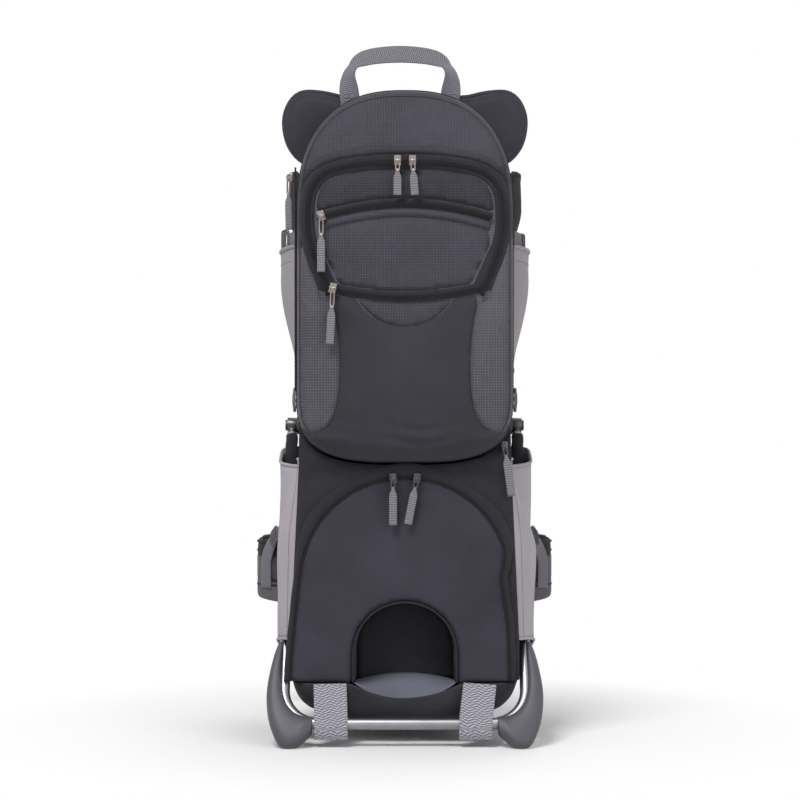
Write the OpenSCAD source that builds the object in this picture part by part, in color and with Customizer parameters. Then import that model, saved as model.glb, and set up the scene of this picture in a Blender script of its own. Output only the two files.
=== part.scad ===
// Framed child carrier backpack with a folding kickstand and a zip-off daypack.
// Millimetres. +X is the right side seen from behind the wearer, +Y points to the
// wearer, +Z is up. The floor is z = 0 and the carrier stands on its open kickstand.

/* [Main frame] */
// Half width between the upright tube centres
frame_half_w = 122; // [110:1:135]
// Height of the top bar centre
frame_top_z = 650; // [600:5:700]
// Outside diameter of the frame tube
frame_tube_d = 16; // [12:0.5:20]
// Wall of both tubes
tube_wall = 1.5; // [1:0.1:2.5]
// Bend radius of the frame corners
frame_bend_r = 55; // [40:1:80]
// Distance of the frame plane from the middle
frame_y = 80; // [70:1:90]
// Rubber under the bottom bar
rubber_h = 4; // [3:0.5:8]
// Height of the seat cross bar
cross_bar_z = 318; // [280:2:350]

/* [Cockpit hoop] */
// Height of the hoop round the child
hoop_z = 560; // [520:2:600]
// Outside diameter of the hoop tube
hoop_tube_d = 14; // [10:0.5:16]
// Distance of the rear bar from the middle
hoop_back = 111; // [105:1:120]
// Bend radius of the hoop corners
hoop_bend_r = 20; // [16:1:24]

/* [Kickstand] */
// Outside diameter of the stand tube
stand_tube_d = 14; // [10:0.5:18]
// Height of the stand pivot
stand_pivot_z = 385; // [370:1:400]
// Pivot distance behind the frame plane
stand_pivot_set = 25; // [24:1:32]
// How far the bar reaches behind the pivot
stand_reach = 240; // [220:1:250]
// Height of the bar when open
stand_bar_z = 27; // [24:1:35]
// Distance of the stand arms outside the uprights
stand_spread = 10; // [8:1:14]
// Bend radius of the stand corners
stand_bend_r = 45; // [38:1:52]
// Thickness of the moulded feet
stand_foot_t = 24; // [20:1:30]
// Diameter of the pivot pins
pivot_pin_d = 8; // [6:0.5:10]
// Width of the stand strap webbing
stand_strap_w = 40; // [30:1:45]
// Distance of the stand straps inside the stand arms
stand_strap_in = 56; // [53:1:62]

/* [Lower compartment] */
// Gap between the compartment and the stand arms
lower_side_gap = 4; // [3:0.5:12]
// How much narrower each side is at the top
lower_taper = 8; // [6:0.5:16]
// Distance of the front face from the middle
lower_front = 160; // [150:1:165]
// Height of the bottom edge
lower_bottom_z = 74; // [66:1:84]
// Height of the top face
lower_top_z = 332; // [300:1:334]
// Distance of the zipped arch from the sides and the top
arch_edge = 5; // [4:0.5:18]
// Half width of the U-shaped recess
recess_half_w = 63; // [50:1:75]
// Height of the recess top
recess_top_z = 172; // [155:1:180]
// Depth of the recess
recess_depth = 55; // [40:1:80]
// Height of the lowest point of the base cloth
base_low_z = 28; // [24:1:40]
// Fullness of the side gussets at the bottom
gusset_full = 28; // [26:1:32]

/* [Daypack] */
// How far the daypack reaches past the upright centres
pack_over = 10; // [2:0.5:14]
// Height of the dome top
pack_top_z = 798; // [770:1:810]
// Height of its lowest point above the compartment
pack_rise = 9; // [5:1:28]
// Depth of the daypack without its pockets
pack_depth = 62; // [50:1:75]
// Crown of the upper pocket
upper_pocket_t = 7; // [4:0.5:7]
// Crown of the lower pocket
lower_pocket_t = 15; // [8:0.5:18]
// Height of the main zip at the middle
main_zip_z = 707; // [700:1:712]
// Height of the upper pocket zip at the middle
upper_zip_z = 656; // [650:1:658]
// Height of the lower pocket zip at the middle
lower_zip_z = 543; // [535:1:550]
// Width of the zip tapes
zip_w = 10; // [8:0.5:11]

/* [Child seat] */
// Thickness of the seat cushion
seat_t = 27; // [20:1:35]
// Distance of the backrest edge inside the upright centres
backrest_edge = 18; // [18:1:32]
// Thickness of the child backrest
backrest_t = 18.7; // [12:0.5:22]
// Height of the backrest top
backrest_top_z = 786; // [760:1:796]
// Thickness of the head wings
wing_t = 13.2; // [8:0.2:16]
// Thickness of the side wall panels
side_panel_t = 4; // [2:0.5:6]
// Fullness of the side pockets
side_pocket_t = 20; // [10:1:26]
// Width of the grab handle webbing
handle_w = 24; // [18:1:28]
// Thickness of the grab handle webbing
handle_t = 2.2; // [1.6:0.2:3]

/* [Wearer side] */
// Distance of the back panel edge inside the upright centres
back_edge = 14; // [14:1:32]
// Thickness of the back panel
back_t = 21.6; // [14:0.2:26]
// Thickness of the lumbar pad
lumbar_t = 17; // [10:1:20]
// Width of the shoulder straps
shoulder_w = 64; // [50:1:70]
// Thickness of the shoulder straps
shoulder_t = 14; // [8:1:18]
// Thickness of the hip fins
fin_t = 16; // [10:1:18]
// Height of the hip fins
fin_h = 106; // [90:1:120]

/* [Fits] */
// Gap between soft neighbours
fit = 0.3; // [0.2:0.05:0.6]
// Radial clearance of pins in their bores
run = 0.05; // [0.02:0.01:0.15]

/* [Hidden] */
$fn = 48;

black = [0.10, 0.10, 0.11];
ripstop = [0.22, 0.23, 0.26];
slate = [0.26, 0.26, 0.30];
light_grey = [0.55, 0.53, 0.54];
webbing = [0.42, 0.42, 0.43];
metal = [0.50, 0.46, 0.42];
silver = [0.72, 0.72, 0.74];
plastic = [0.18, 0.18, 0.19];

frame_bar_z = rubber_h + frame_tube_d / 2;
frame_front_y = frame_y - frame_tube_d / 2;
frame_wearer_y = frame_y + frame_tube_d / 2;

pivot_y = frame_y - stand_pivot_set;
stand_drop = stand_pivot_z - stand_bar_z;
stand_len = norm([stand_reach, stand_drop]);
stand_tilt = atan2(stand_reach, stand_drop);
stand_x = frame_half_w + frame_tube_d / 2 + stand_spread + stand_tube_d / 2;
stand_strap_x = stand_x - stand_strap_in;
eye_w = 12;
eye_d = pivot_pin_d + 12;
eye_x = stand_x - eye_w / 2;
bracket_x = eye_x - fit;

hoop_y = -hoop_back;
backrest_half_w = frame_half_w - backrest_edge;
backrest_back_y = hoop_y + hoop_tube_d / 2 + fit;
backrest_face_y = backrest_back_y + backrest_t;
wing_back_y = backrest_back_y - fit - wing_t;
handle_back_y = wing_back_y - fit - handle_t;
pack_back_y = handle_back_y - fit;
pack_front_y = pack_back_y - pack_depth;
pack_half_w = frame_half_w + pack_over;
pack_bottom_z = lower_top_z + pack_rise;
pack_round_z = 640;
pack_turn_z = 430;
pack_taper_z = 716;
pack_mid_z = 560;
pack_power = 2.5;

lower_half_w = stand_x - stand_tube_d / 2 - lower_side_gap;
lower_top_half_w = lower_half_w - lower_taper;
lower_front_y = -lower_front;
lower_back_y = frame_front_y - fit;
zip_t = 3;
flap_t = 3.7;
yoke_t = flap_t + 0.5;
zip_front_y = lower_front_y - fit - yoke_t;
track_front_y = pack_front_y - fit - zip_t;
side_in_x = frame_half_w + hoop_tube_d / 2 + fit;
side_out_x = side_in_x + side_panel_t;

main_zip_r = 700;
upper_zip_r = 327;
lower_zip_r = 389;
main_slider_x = 9;
upper_slider_x = pack_half_w - 31;
lower_slider_x = pack_half_w - 45;
arch_r = lower_half_w - arch_edge;
arch_z = lower_top_z - arch_edge - arch_r;
compartment_zip_r = arch_r - 3.2;
compartment_slider_a = 6.5;
attachment_x = pack_half_w - 11;
attachment_z = 362;
side_slider_z = 690;

back_half_w = frame_half_w - back_edge;
back_in_y = frame_wearer_y + 0.4;
back_face_y = back_in_y + back_t;
ladder_y = back_face_y + fit;
ladder_t = 3;
yoke_in_y = ladder_y + ladder_t + 0.4;
yoke_plate_t = 6;
yoke_face_y = yoke_in_y + yoke_plate_t;
shoulder_flat_y = 191;
sternum_y = shoulder_flat_y + shoulder_t / 2 + 1.2;
fin_z = 192;
fin_pivot = [frame_half_w - 23, back_face_y + 11];
fin_webbing_y = 206;
fin_webbing_t = 2;
fin_webbing_w = 38;

eye_r = 2;
eye_bore_r = 1.1;
slider_pin_r = 1;
slider_pin_y = -6.2;
pull_w = 5.4;

function unit(v) = v / norm(v);
function mix(a, b, t) = a + (b - a) * t;
function power(v, p) = sign(v) * pow(abs(v), p);
function middle(points, i = 0) = i == len(points) - 1 ? points[i] : points[i] + middle(points, i + 1);
function flipped(list) = [for (i = [len(list) - 1:-1:0]) list[i]];
function total(list, i = 0) = i == len(list) - 1 ? list[i] : list[i] + total(list, i + 1);

// Superellipse ring of n points
function oval(a, b, p, n) = [for (i = [0:n - 1])
    let (t = 360 * (i + 0.5) / n) [a * power(cos(t), 2 / p), b * power(sin(t), 2 / p)]];

function arc(c, r, a0, a1, n) = [for (i = [0:n])
    let (a = mix(a0, a1, i / n)) [c[0] + r * cos(a), c[1] + r * sin(a)]];

// Smooth curve through control points
function curve_point(p, i, t) = let (
    a = p[max(i - 1, 0)],
    b = p[i],
    c = p[i + 1],
    d = p[min(i + 2, len(p) - 1)])
    0.5 * (2 * b + (c - a) * t + (2 * a - 5 * b + 4 * c - d) * t * t + (3 * b - a - 3 * c + d) * t * t * t);
function curve(p, steps) = concat(
    [for (i = [0:len(p) - 2]) for (k = [0:steps - 1]) curve_point(p, i, k / steps)], [p[len(p) - 1]]);

function side_of(p, i) = unit(p[min(i + 1, len(p) - 1)] - p[max(i - 1, 0)]);
function beside(p, d) = [for (i = [0:len(p) - 1]) let (u = side_of(p, i)) p[i] + d * [-u[1], u[0]]];
function band(p, w) = concat(beside(p, w / 2), flipped(beside(p, -w / 2)));

// Six times the signed volume of a closed triangle mesh
function six_volume(points, faces) =
    total([for (f = faces) points[f[0]] * cross(points[f[1]], points[f[2]])]);

// Closed skin through rings with the same number of points
module loft(rings) {
    n = len(rings[0]);
    m = len(rings);
    points = concat([for (r = rings) each r], [middle(rings[0]) / n, middle(rings[m - 1]) / n]);
    walls = [for (j = [0:m - 2]) for (i = [0:n - 1])
        let (a = j * n + i, b = j * n + (i + 1) % n) each [[a, b, b + n], [a, b + n, a + n]]];
    ends = [for (i = [0:n - 1])
        let (k = (i + 1) % n, e = (m - 1) * n) each [[m * n, k, i], [m * n + 1, e + i, e + k]]];
    faces = concat(walls, ends);
    inside_out = six_volume(points, faces) > 0;
    polyhedron(points, [for (f = faces) inside_out ? flipped(f) : f]);
}

// Cushion seen along Y: levels are [scale, y]
module cushion(outline, c, levels)
    loft([for (l = levels) [for (p = outline) [mix(c[0], p[0], l[0]), l[1], mix(c[1], p[1], l[0])]]]);

// Cushion seen along X: the outline is [y, z] and levels are [scale, x]
module side_cushion(outline, c, levels)
    loft([for (l = levels) [for (p = outline) [l[1], mix(c[0], p[0], l[0]), mix(c[1], p[1], l[0])]]]);

// Padded strap along a path; across points along its width
module strap(path, across, widths, thick, p, n) {
    last = len(path) - 1;
    loft([for (i = [0:last]) let (
        dir = unit(path[min(i + 1, last)] - path[max(i - 1, 0)]),
        up = unit(cross(dir, across)),
        side = cross(up, dir))
        [for (q = oval(widths[i] / 2, thick[i] / 2, p, n)) path[i] + side * q[0] + up * q[1]]]);
}

// Flat plate from a drawing seen along -Y
module plate(y0, y1) translate([0, y1, 0]) rotate([90, 0, 0]) linear_extrude(y1 - y0) children();

// Flat plate from a [y, z] drawing seen along X
module side_plate(x0, x1) translate([x0, 0, 0]) rotate([90, 0, 90]) linear_extrude(x1 - x0) children();

module box(low, high) translate(low) cube(high - low);

module both() {
    children();
    mirror([1, 0, 0]) children();
}

module left() mirror([1, 0, 0]) children();

function heading(a, b) = atan2(b[1] - a[1], b[0] - a[0]);
function turn_at(p, i) = let (h = heading(p[i], p[i + 1]) - heading(p[i - 1], p[i]))
    h > 180 ? h - 360 : h < -180 ? h + 360 : h;
function trim_at(p, i, r) = i == 0 || i == len(p) - 1 ? 0 : r[i] * tan(abs(turn_at(p, i)) / 2);
function same(r, p) = [for (i = p) r];

// Round rod bent in the XY plane; r lists the bend radius at each corner
module bent_rod(p, r, d) {
    last = len(p) - 1;
    for (i = [0:last - 1]) {
        a = trim_at(p, i, r);
        b = trim_at(p, i + 1, r);
        translate([p[i][0], p[i][1], 0]) rotate([0, 0, heading(p[i], p[i + 1])]) translate([a, 0, 0])
            rotate([0, 90, 0]) cylinder(d = d, h = norm(p[i + 1] - p[i]) - a - b);
    }
    for (i = [1:last - 1]) {
        t = turn_at(p, i);
        s = sign(t);
        translate([p[i][0], p[i][1], 0]) rotate([0, 0, heading(p[i - 1], p[i])])
            translate([-trim_at(p, i, r), s * r[i], 0]) rotate([0, 0, s > 0 ? -90 : 90 + t])
            rotate_extrude(angle = abs(t)) translate([r[i], 0]) circle(d = d);
    }
}

// Frame: one rounded loop with a seat cross bar
module main_frame() color(silver) translate([0, frame_y, 0]) {
    w = frame_half_w;
    loop = [[0, frame_bar_z], [w, frame_bar_z], [w, frame_top_z], [-w, frame_top_z], [-w, frame_bar_z],
        [0, frame_bar_z]];
    difference() {
        union() {
            rotate([90, 0, 0]) bent_rod(loop, same(frame_bend_r, loop), frame_tube_d);
            translate([-w, 0, cross_bar_z]) rotate([0, 90, 0]) cylinder(d = frame_tube_d, h = 2 * w);
        }
        rotate([90, 0, 0]) bent_rod(loop, same(frame_bend_r, loop), frame_tube_d - 2 * tube_wall);
    }
}

// Hoop that holds the child compartment open, clamped to the uprights by two collars
module cockpit_hoop() color(silver) translate([0, 0, hoop_z]) {
    w = frame_half_w;
    collar_d = frame_tube_d + 5;
    path = [[w, frame_y], [w, hoop_y], [-w, hoop_y], [-w, frame_y]];
    difference() {
        union() {
            bent_rod(path, same(hoop_bend_r, path), hoop_tube_d);
            both() translate([w, frame_y, -15]) cylinder(d = collar_d, h = 30);
        }
        bent_rod(path, same(hoop_bend_r, path), hoop_tube_d - 2 * tube_wall);
        both() translate([w, frame_y, -16]) cylinder(d = frame_tube_d + 0.2, h = 32);
    }
}

module frame_feet() color(plastic) both() difference() {
    box([48, frame_y - 14, 0], [frame_half_w - frame_bend_r - 1 + 20, frame_y + 14, frame_bar_z - 1]);
    translate([40, frame_y, frame_bar_z]) rotate([0, 90, 0]) cylinder(d = frame_tube_d + 0.2, h = 60);
}

// Clamp on the upright that carries the stand pivot
module stand_brackets() color(plastic) both() difference() {
    union() {
        translate([frame_half_w, frame_y, stand_pivot_z - 20]) cylinder(d = frame_tube_d + 7, h = 40);
        translate([frame_half_w - 8, pivot_y, stand_pivot_z]) rotate([0, 90, 0])
            cylinder(d = eye_d + 4, h = bracket_x - frame_half_w + 8);
        box([frame_half_w - 8, pivot_y, stand_pivot_z - eye_d / 2 - 2],
            [bracket_x, frame_y, stand_pivot_z + eye_d / 2 + 2]);
    }
    translate([frame_half_w, frame_y, stand_pivot_z - 21]) cylinder(d = frame_tube_d + 0.2, h = 42);
    translate([frame_half_w - 20, pivot_y, stand_pivot_z]) rotate([0, 90, 0])
        cylinder(d = pivot_pin_d + 0.1, h = 60);
}

module stand_pivot_pins() color(metal) both() translate([0, pivot_y, stand_pivot_z]) rotate([0, 90, 0]) {
    translate([0, 0, frame_half_w - 8]) cylinder(d = pivot_pin_d, h = eye_x + eye_w + fit - frame_half_w + 9);
    translate([0, 0, eye_x + eye_w + fit]) cylinder(d = pivot_pin_d + 6, h = 2.5);
}

// Places a drawing made in the plane of the open stand, pivot at the origin
module in_stand() translate([0, pivot_y, stand_pivot_z]) rotate([-stand_tilt, 0, 0]) children();

stand_path = [[stand_x, -eye_d / 2 - 4], [stand_x, -stand_len], [-stand_x, -stand_len],
    [-stand_x, -eye_d / 2 - 4]];

module stand_rod(d) rotate([90, 0, 0]) bent_rod(stand_path, same(stand_bend_r, stand_path), d);

module kickstand_tube() color(silver) in_stand() difference() {
    union() {
        stand_rod(stand_tube_d);
        both() translate([eye_x, 0, 0]) rotate([0, 90, 0]) cylinder(d = eye_d, h = eye_w);
        both() translate([stand_x, 0, -eye_d / 2 - 5]) cylinder(d = stand_tube_d - 2, h = 8);
    }
    both() translate([eye_x - 1, 0, 0]) rotate([0, 90, 0]) cylinder(d = pivot_pin_d + 2 * run, h = eye_w + 2);
}

// Moulded corner foot, drawn from the stand corner
module stand_foot() {
    c = stand_x;
    l = -stand_len;
    e = stand_strap_x + stand_strap_w / 2 + fit;
    outline = concat([[c, l + 108], [c + 8, l + 108]],
        curve([[c + 14, l + 89], [c + 20, l + 54], [c + 21, l + 30], [c + 16, l + 4], [c + 9, l - 20],
            [c - 1, l - 34]], 3),
        [[c - 11, l - 34], [c - 25, l - 20], [e, l - 14], [e, l + 12], [c - 25, l + 15],
        [c - 14, l + 25], [c - 6, l + 40], [c, l + 62]]);
    difference() {
        in_stand() difference() {
            plate(-stand_foot_t / 2, stand_foot_t / 2) polygon(outline);
            stand_rod(stand_tube_d + 0.2);
        }
        box([0, -400, -100], [300, 0, 0]);
    }
}

module stand_foot_right() color(plastic) stand_foot();

module stand_foot_left() color(plastic) left() stand_foot();

// Webbing loop round the bar, sewn to the bottom edge of the compartment
module stand_strap() {
    t = 2;
    bar = [pivot_y - stand_reach, stand_bar_z];
    top = [lower_front_y - flap_t - 2 * fit - t - 0.8, lower_bottom_z - 1];
    rise = heading(bar, top);
    r0 = stand_tube_d / 2 + fit;
    function drop(r, tip) = let (a = acos((r - tip) / norm(top - bar)))
        concat(arc(bar, r, rise + a, rise + 360 - a, 20), arc(top, tip, rise - a, rise + a, 4));
    side_plate(stand_strap_x - stand_strap_w / 2, stand_strap_x + stand_strap_w / 2) difference() {
        polygon(drop(r0 + t, t + 0.8));
        polygon(drop(r0, 0.8));
    }
}

module stand_strap_right() color(webbing) stand_strap();

module stand_strap_left() color(webbing) left() stand_strap();

// Child side
function dome(w, low, top, round_z, n) = let (h = top - round_z)
    concat([for (i = [0:n]) let (t = 180 * i / n) [w * power(cos(t), 0.8), round_z + h * power(sin(t), 0.8)]],
    [[-w, mix(round_z, low, 0.35)], [-w, mix(round_z, low, 0.7)], [-w + 6, low + 8], [-w + 22, low]],
    [[0, low]], [[w - 22, low], [w - 6, low + 8], [w, mix(round_z, low, 0.7)], [w, mix(round_z, low, 0.35)]]);

module child_backrest() color(black) {
    b = backrest_back_y;
    f = backrest_face_y;
    outline = dome(backrest_half_w, lower_top_z + 2, backrest_top_z, pack_round_z + 20, 20);
    cushion(outline, [0, pack_mid_z], [[0.965, b], [0.995, mix(b, f, 0.25)], [1, mix(b, f, 0.45)],
        [0.98, mix(b, f, 0.7)], [0.92, mix(b, f, 0.9)], [0.8, f], [0.4, f]]);
}

module head_wing() {
    b = wing_back_y;
    f = wing_back_y + wing_t;
    c = [frame_half_w - 22, 755];
    lean = 18;
    outline = [for (q = oval(54, 48, 2.2, 28))
        c + [q[0] * cos(lean) - q[1] * sin(lean), q[0] * sin(lean) + q[1] * cos(lean)]];
    cushion(outline, c, [[0.8, b], [0.95, mix(b, f, 0.2)], [1, mix(b, f, 0.5)], [0.95, mix(b, f, 0.8)],
        [0.8, f], [0.4, f]]);
}

module head_wing_right() color(black) head_wing();

module head_wing_left() color(black) left() head_wing();

// Side wall of the child compartment with the leg opening cut from its lower front corner
module side_panel() {
    rear = hoop_y - hoop_tube_d / 2;
    front = frame_front_y - 6;
    leg = [front, 418];
    side_plate(side_in_x, side_out_x)
        polygon(concat([[rear, 402], [rear, 690], [rear + 16, 700], [rear + 50, 688], [front, 636]],
            arc(leg, 80, 90, 180, 12), [[front - 84, 402]]));
}

module side_panel_right() color(black) side_panel();

module side_panel_left() color(black) left() side_panel();

module side_pocket() {
    a = side_out_x + fit;
    b = a + side_pocket_t;
    c = [-32, 530];
    outline = [for (q = oval(70, 80, 3.2, 28)) c + [q[0] * (1 + q[1] / 900), q[1]]];
    side_cushion(outline, c, [[1, a], [0.99, mix(a, b, 0.3)], [0.94, mix(a, b, 0.62)],
        [0.82, mix(a, b, 0.85)], [0.6, mix(a, b, 0.97)], [0.3, b]]);
}

module side_pocket_right() color(light_grey) side_pocket();

module side_pocket_left() color(light_grey) left() side_pocket();

module compression_straps() color(webbing) both() {
    a = side_out_x + fit;
    rear = hoop_y - hoop_tube_d / 2 + 2;
    box([a, rear, 408], [a + 2, frame_front_y - 92, 428]);
    difference() {
        box([a, rear + 4, 404], [a + 9, rear + 22, 432]);
        box([a + 3.5, rear + 8, 409], [a + 10, rear + 11, 427]);
        box([a + 3.5, rear + 15, 409], [a + 10, rear + 18, 427]);
    }
}

module face_pad() color(black) {
    f = frame_front_y - 0.5;
    b = f - 25;
    outline = oval(frame_half_w - 28, 34, 3.4, 32);
    c = [0, frame_top_z - 16];
    cushion([for (q = outline) c + q], c, [[0.55, b], [0.8, mix(b, f, 0.08)], [0.95, mix(b, f, 0.3)],
        [1, mix(b, f, 0.6)], [0.96, mix(b, f, 0.88)], [0.85, f], [0.4, f]]);
}

// Shoulder and crotch webbing with padded sleeves, lying on the backrest
module child_harness() color(webbing) {
    y = backrest_face_y + fit;
    both() {
        strap([[44, y + 1.5, 650], [40, y + 1.5, 560], [28, y + 1.5, 490], [20, y + 1.5, 469]], [1, 0, 0],
            [26, 26, 26, 22], [3, 3, 3, 3], 8, 8);
        strap([[43, y + 8, 636], [40, y + 8, 570], [29, y + 8, 500]], [1, 0, 0],
            [44, 46, 40], [9, 10, 9], 3, 12);
    }
    box([-13, y, 366], [13, y + 3, 430]);
}

module harness_buckle() color(plastic) {
    y = backrest_face_y + fit;
    plate(y + 0.4, y + 13) polygon([for (q = oval(25, 14.5, 4, 28)) [q[0], 446 + q[1]]]);
}

// Saddle cushion, narrow towards the wearer
module child_seat() color(black) {
    low = lower_top_z + fit;
    high = low + seat_t;
    c = [0, -6];
    outline = [for (q = oval(frame_half_w - 26, 64, 3, 32)) [q[0] * (0.86 - q[1] / 450), c[1] + q[1]]];
    levels = [[0.8, low], [0.96, mix(low, high, 0.2)], [1, mix(low, high, 0.45)],
        [0.96, mix(low, high, 0.74)], [0.84, mix(low, high, 0.93)], [0.6, high], [0.3, high]];
    loft([for (l = levels) [for (p = outline) [p[0] * l[0], mix(c[1], p[1], l[0]), l[1]]]]);
}

// Lower compartment
module lower_face(low, high) polygon([[-lower_half_w, low], [lower_half_w, low], [lower_top_half_w, high],
    [-lower_top_half_w, high]]);

module arch_face(r, low) polygon(concat(arc([0, arch_z], r, 0, 180, 40), [[-r, low], [r, low]]));

module recess_face(w, low)
    polygon(concat(arc([0, recess_top_z - recess_half_w], w, 0, 180, 28), [[-w, low], [w, low]]));

module lower_compartment() color(slate) difference() {
    plate(lower_front_y, lower_back_y) lower_face(lower_bottom_z, lower_top_z);
    plate(lower_front_y - 1, lower_front_y + recess_depth) recess_face(recess_half_w, lower_bottom_z - 1);
}

function pack_line(extra, n) = let (w = pack_half_w + extra, up = pack_top_z + extra - pack_round_z,
    down = pack_turn_z - pack_bottom_z + extra)
    concat([for (i = [0:n]) let (t = 180 * i / n)
        [w * power(cos(t), 2 / pack_power), pack_round_z + up * power(sin(t), 2 / pack_power)]],
    [[-w, mix(pack_round_z, pack_turn_z, 0.33)], [-w, mix(pack_round_z, pack_turn_z, 0.67)]],
    [for (i = [0:n]) let (t = 180 + 180 * i / n)
        [w * power(cos(t), 2 / pack_power), pack_turn_z + down * power(sin(t), 2 / pack_power)]],
    [[w, mix(pack_turn_z, pack_round_z, 0.33)], [w, mix(pack_turn_z, pack_round_z, 0.67)]]);

// Black cloth between the arch and the daypack
module compartment_yoke() color(black) plate(lower_front_y - fit - yoke_t, lower_front_y - fit) difference() {
    polygon([[-lower_half_w, lower_bottom_z], [lower_half_w, lower_bottom_z], [lower_top_half_w, 392],
        [-lower_top_half_w, 392]]);
    arch_face(arch_r, lower_bottom_z - 1);
    polygon(pack_line(1, 24));
}

module compartment_flap() color(slate) plate(lower_front_y - fit - flap_t, lower_front_y - fit) difference() {
    arch_face(arch_r - 6.8, lower_bottom_z);
    recess_face(recess_half_w, lower_bottom_z - 1);
}

module compartment_zip() color(black) {
    plate(zip_front_y, lower_front_y - fit) difference() {
        arch_face(arch_r - fit, lower_bottom_z + 20);
        arch_face(arch_r - 6.8 + fit, lower_bottom_z + 10);
    }
    translate([attachment_x, lower_front_y - 2 * fit - yoke_t, attachment_z]) slider_body(-35);
}

// Sloped floor inside the recess
module compartment_floor() color(ripstop) side_plate(fit - recess_half_w, recess_half_w - fit)
    polygon([[lower_front_y + 1, lower_bottom_z + 0.2],
        [lower_front_y + recess_depth - fit, lower_bottom_z + 0.2],
        [lower_front_y + recess_depth - fit, lower_bottom_z + 22]]);

// Hanging tray of cloth below the compartment
function tray_ring(w, y0, y1, z) = [[w, y0, z], [w, mix(y0, y1, 0.5), z], [w, y1, z], [0, y1, z], [-w, y1, z],
    [-w, mix(y0, y1, 0.5), z], [-w, y0, z], [0, y0, z]];

module base_panel() color(black) {
    top = lower_bottom_z - fit;
    low = base_low_z;
    w = lower_half_w;
    f = lower_front_y - 4;
    b = lower_back_y;
    loft([tray_ring(w - 30, f + 52, b - 16, low), tray_ring(w - 18, f + 34, b - 8, low + 6),
        tray_ring(w - 8, f + 16, b - 2, mix(low, top, 0.5)), tray_ring(w, f, b, top)]);
}

// Full side gusset that covers the stand arm
module gusset() {
    skin = 2.5;
    ny = 12;
    nz = 7;
    front = lower_front_y;
    rear = frame_front_y - 6;
    function spot(i, j, d) = let (
        s = i / ny,
        t = j / nz,
        y = mix(front, rear, s),
        low = mix(lower_bottom_z + 53, lower_bottom_z + 10, pow(s, 1.5)),
        z = mix(low, mix(338, 356, s), t),
        full = mix(gusset_full, 0.93 * gusset_full, t) * (1 - pow(abs(1 - 2 * s), 4)))
        [lower_half_w + fit + full + d, y, z];
    loft([for (i = [0:ny]) concat([for (j = [0:nz]) spot(i, j, skin)], [for (j = [nz:-1:0]) spot(i, j, 0)])]);
}

module gusset_right() color(light_grey) gusset();

module gusset_left() color(light_grey) left() gusset();

// Zip sliders: the base follows the tape, the pin stays level
module slider_body(tilt) {
    rotate([0, tilt, 0]) box([-4, -4, -6], [4, 0, 6]);
    both() box([pull_w / 2 + 0.3, slider_pin_y - 2, -2.2], [pull_w / 2 + 1.5, -3, 2.2]);
    translate([-pull_w / 2 - 1.5, slider_pin_y, 0]) rotate([0, 90, 0])
        cylinder(r = slider_pin_r, h = pull_w + 3, $fn = 24);
}

// Metal puller with a cloth tab, hanging from its eye
module pull(metal_len, cloth_len) translate([0, slider_pin_y, 0]) difference() {
    union() {
        translate([-pull_w / 2, 0, 0]) rotate([0, 90, 0]) cylinder(r = eye_r, h = pull_w, $fn = 24);
        box([-pull_w / 2, -0.8, -metal_len], [pull_w / 2, 0.8, -0.4]);
        box([-4.6, -1.2, -metal_len - cloth_len], [4.6, 1.2, -metal_len + 4]);
    }
    translate([-pull_w, 0, 0]) rotate([0, 90, 0]) cylinder(r = eye_bore_r, h = 2 * pull_w, $fn = 24);
}

// Slider positions: [x, y, z] and the tilt of the tape
function above(cz, r, x) = [x, cz + sqrt(r * r - x * x)];
main_at = above(main_zip_z - main_zip_r, main_zip_r, main_slider_x);
upper_at = above(upper_zip_z - upper_zip_r, upper_zip_r, upper_slider_x);
lower_at = [lower_slider_x, lower_zip_z + lower_zip_r - sqrt(pow(lower_zip_r, 2) - pow(lower_slider_x, 2))];
compartment_at = arch_z * [0, 1] + compartment_zip_r * [sin(compartment_slider_a), cos(compartment_slider_a)];

module on_daypack(x, z) translate([x, track_front_y - fit, z]) children();

module on_compartment(x, z) translate([x, zip_front_y - fit, z]) children();

module compartment_slider_right() color(metal) on_compartment(compartment_at[0], compartment_at[1])
    slider_body(compartment_slider_a);

module compartment_slider_left() color(metal) on_compartment(-compartment_at[0], compartment_at[1])
    slider_body(-compartment_slider_a);

module compartment_pull_right() color(webbing)
    on_compartment(compartment_at[0], compartment_at[1]) pull(15, 42);

module compartment_pull_left() color(webbing)
    on_compartment(-compartment_at[0], compartment_at[1]) pull(15, 42);

module attachment_pull() color(webbing)
    translate([attachment_x, lower_front_y - 2 * fit - yoke_t, attachment_z]) pull(15, 46);

// Daypack
function pack_deep(z) = z < pack_taper_z ? pack_depth : pack_depth - 0.42 * (z - pack_taper_z);

module daypack_body() color(ripstop) {
    outline = pack_line(0, 20);
    levels = [[0.985, 0], [1, 0.12], [1, 0.55], [0.985, 0.8], [0.955, 0.93], [0.91, 0.99],
        [0.85, 1], [0.4, 1]];
    loft([for (l = levels) [for (p = outline) let (z = mix(pack_mid_z, p[1], l[0]))
        [p[0] * l[0], pack_back_y - l[1] * pack_deep(z), z]]]);
}

// Shallow pocket on the daypack front; deep(z) gives its crown
module front_pocket(outline, c, low_t, high_t, low_z, high_z) {
    a = pack_front_y - fit;
    levels = [[1, 0.12], [0.98, 0.5], [0.92, 0.8], [0.8, 0.95], [0.6, 1], [0.3, 1]];
    rim = [for (p = outline) [p[0], a, p[1]]];
    loft(concat([rim], [for (l = levels) [for (p = outline) let (
        x = mix(c[0], p[0], l[0]),
        z = mix(c[1], p[1], l[0]),
        t = min(max((z - low_z) / (high_z - low_z), 0), 1))
        [x, a - l[1] * mix(low_t, high_t, t), z]]]));
}

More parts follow.
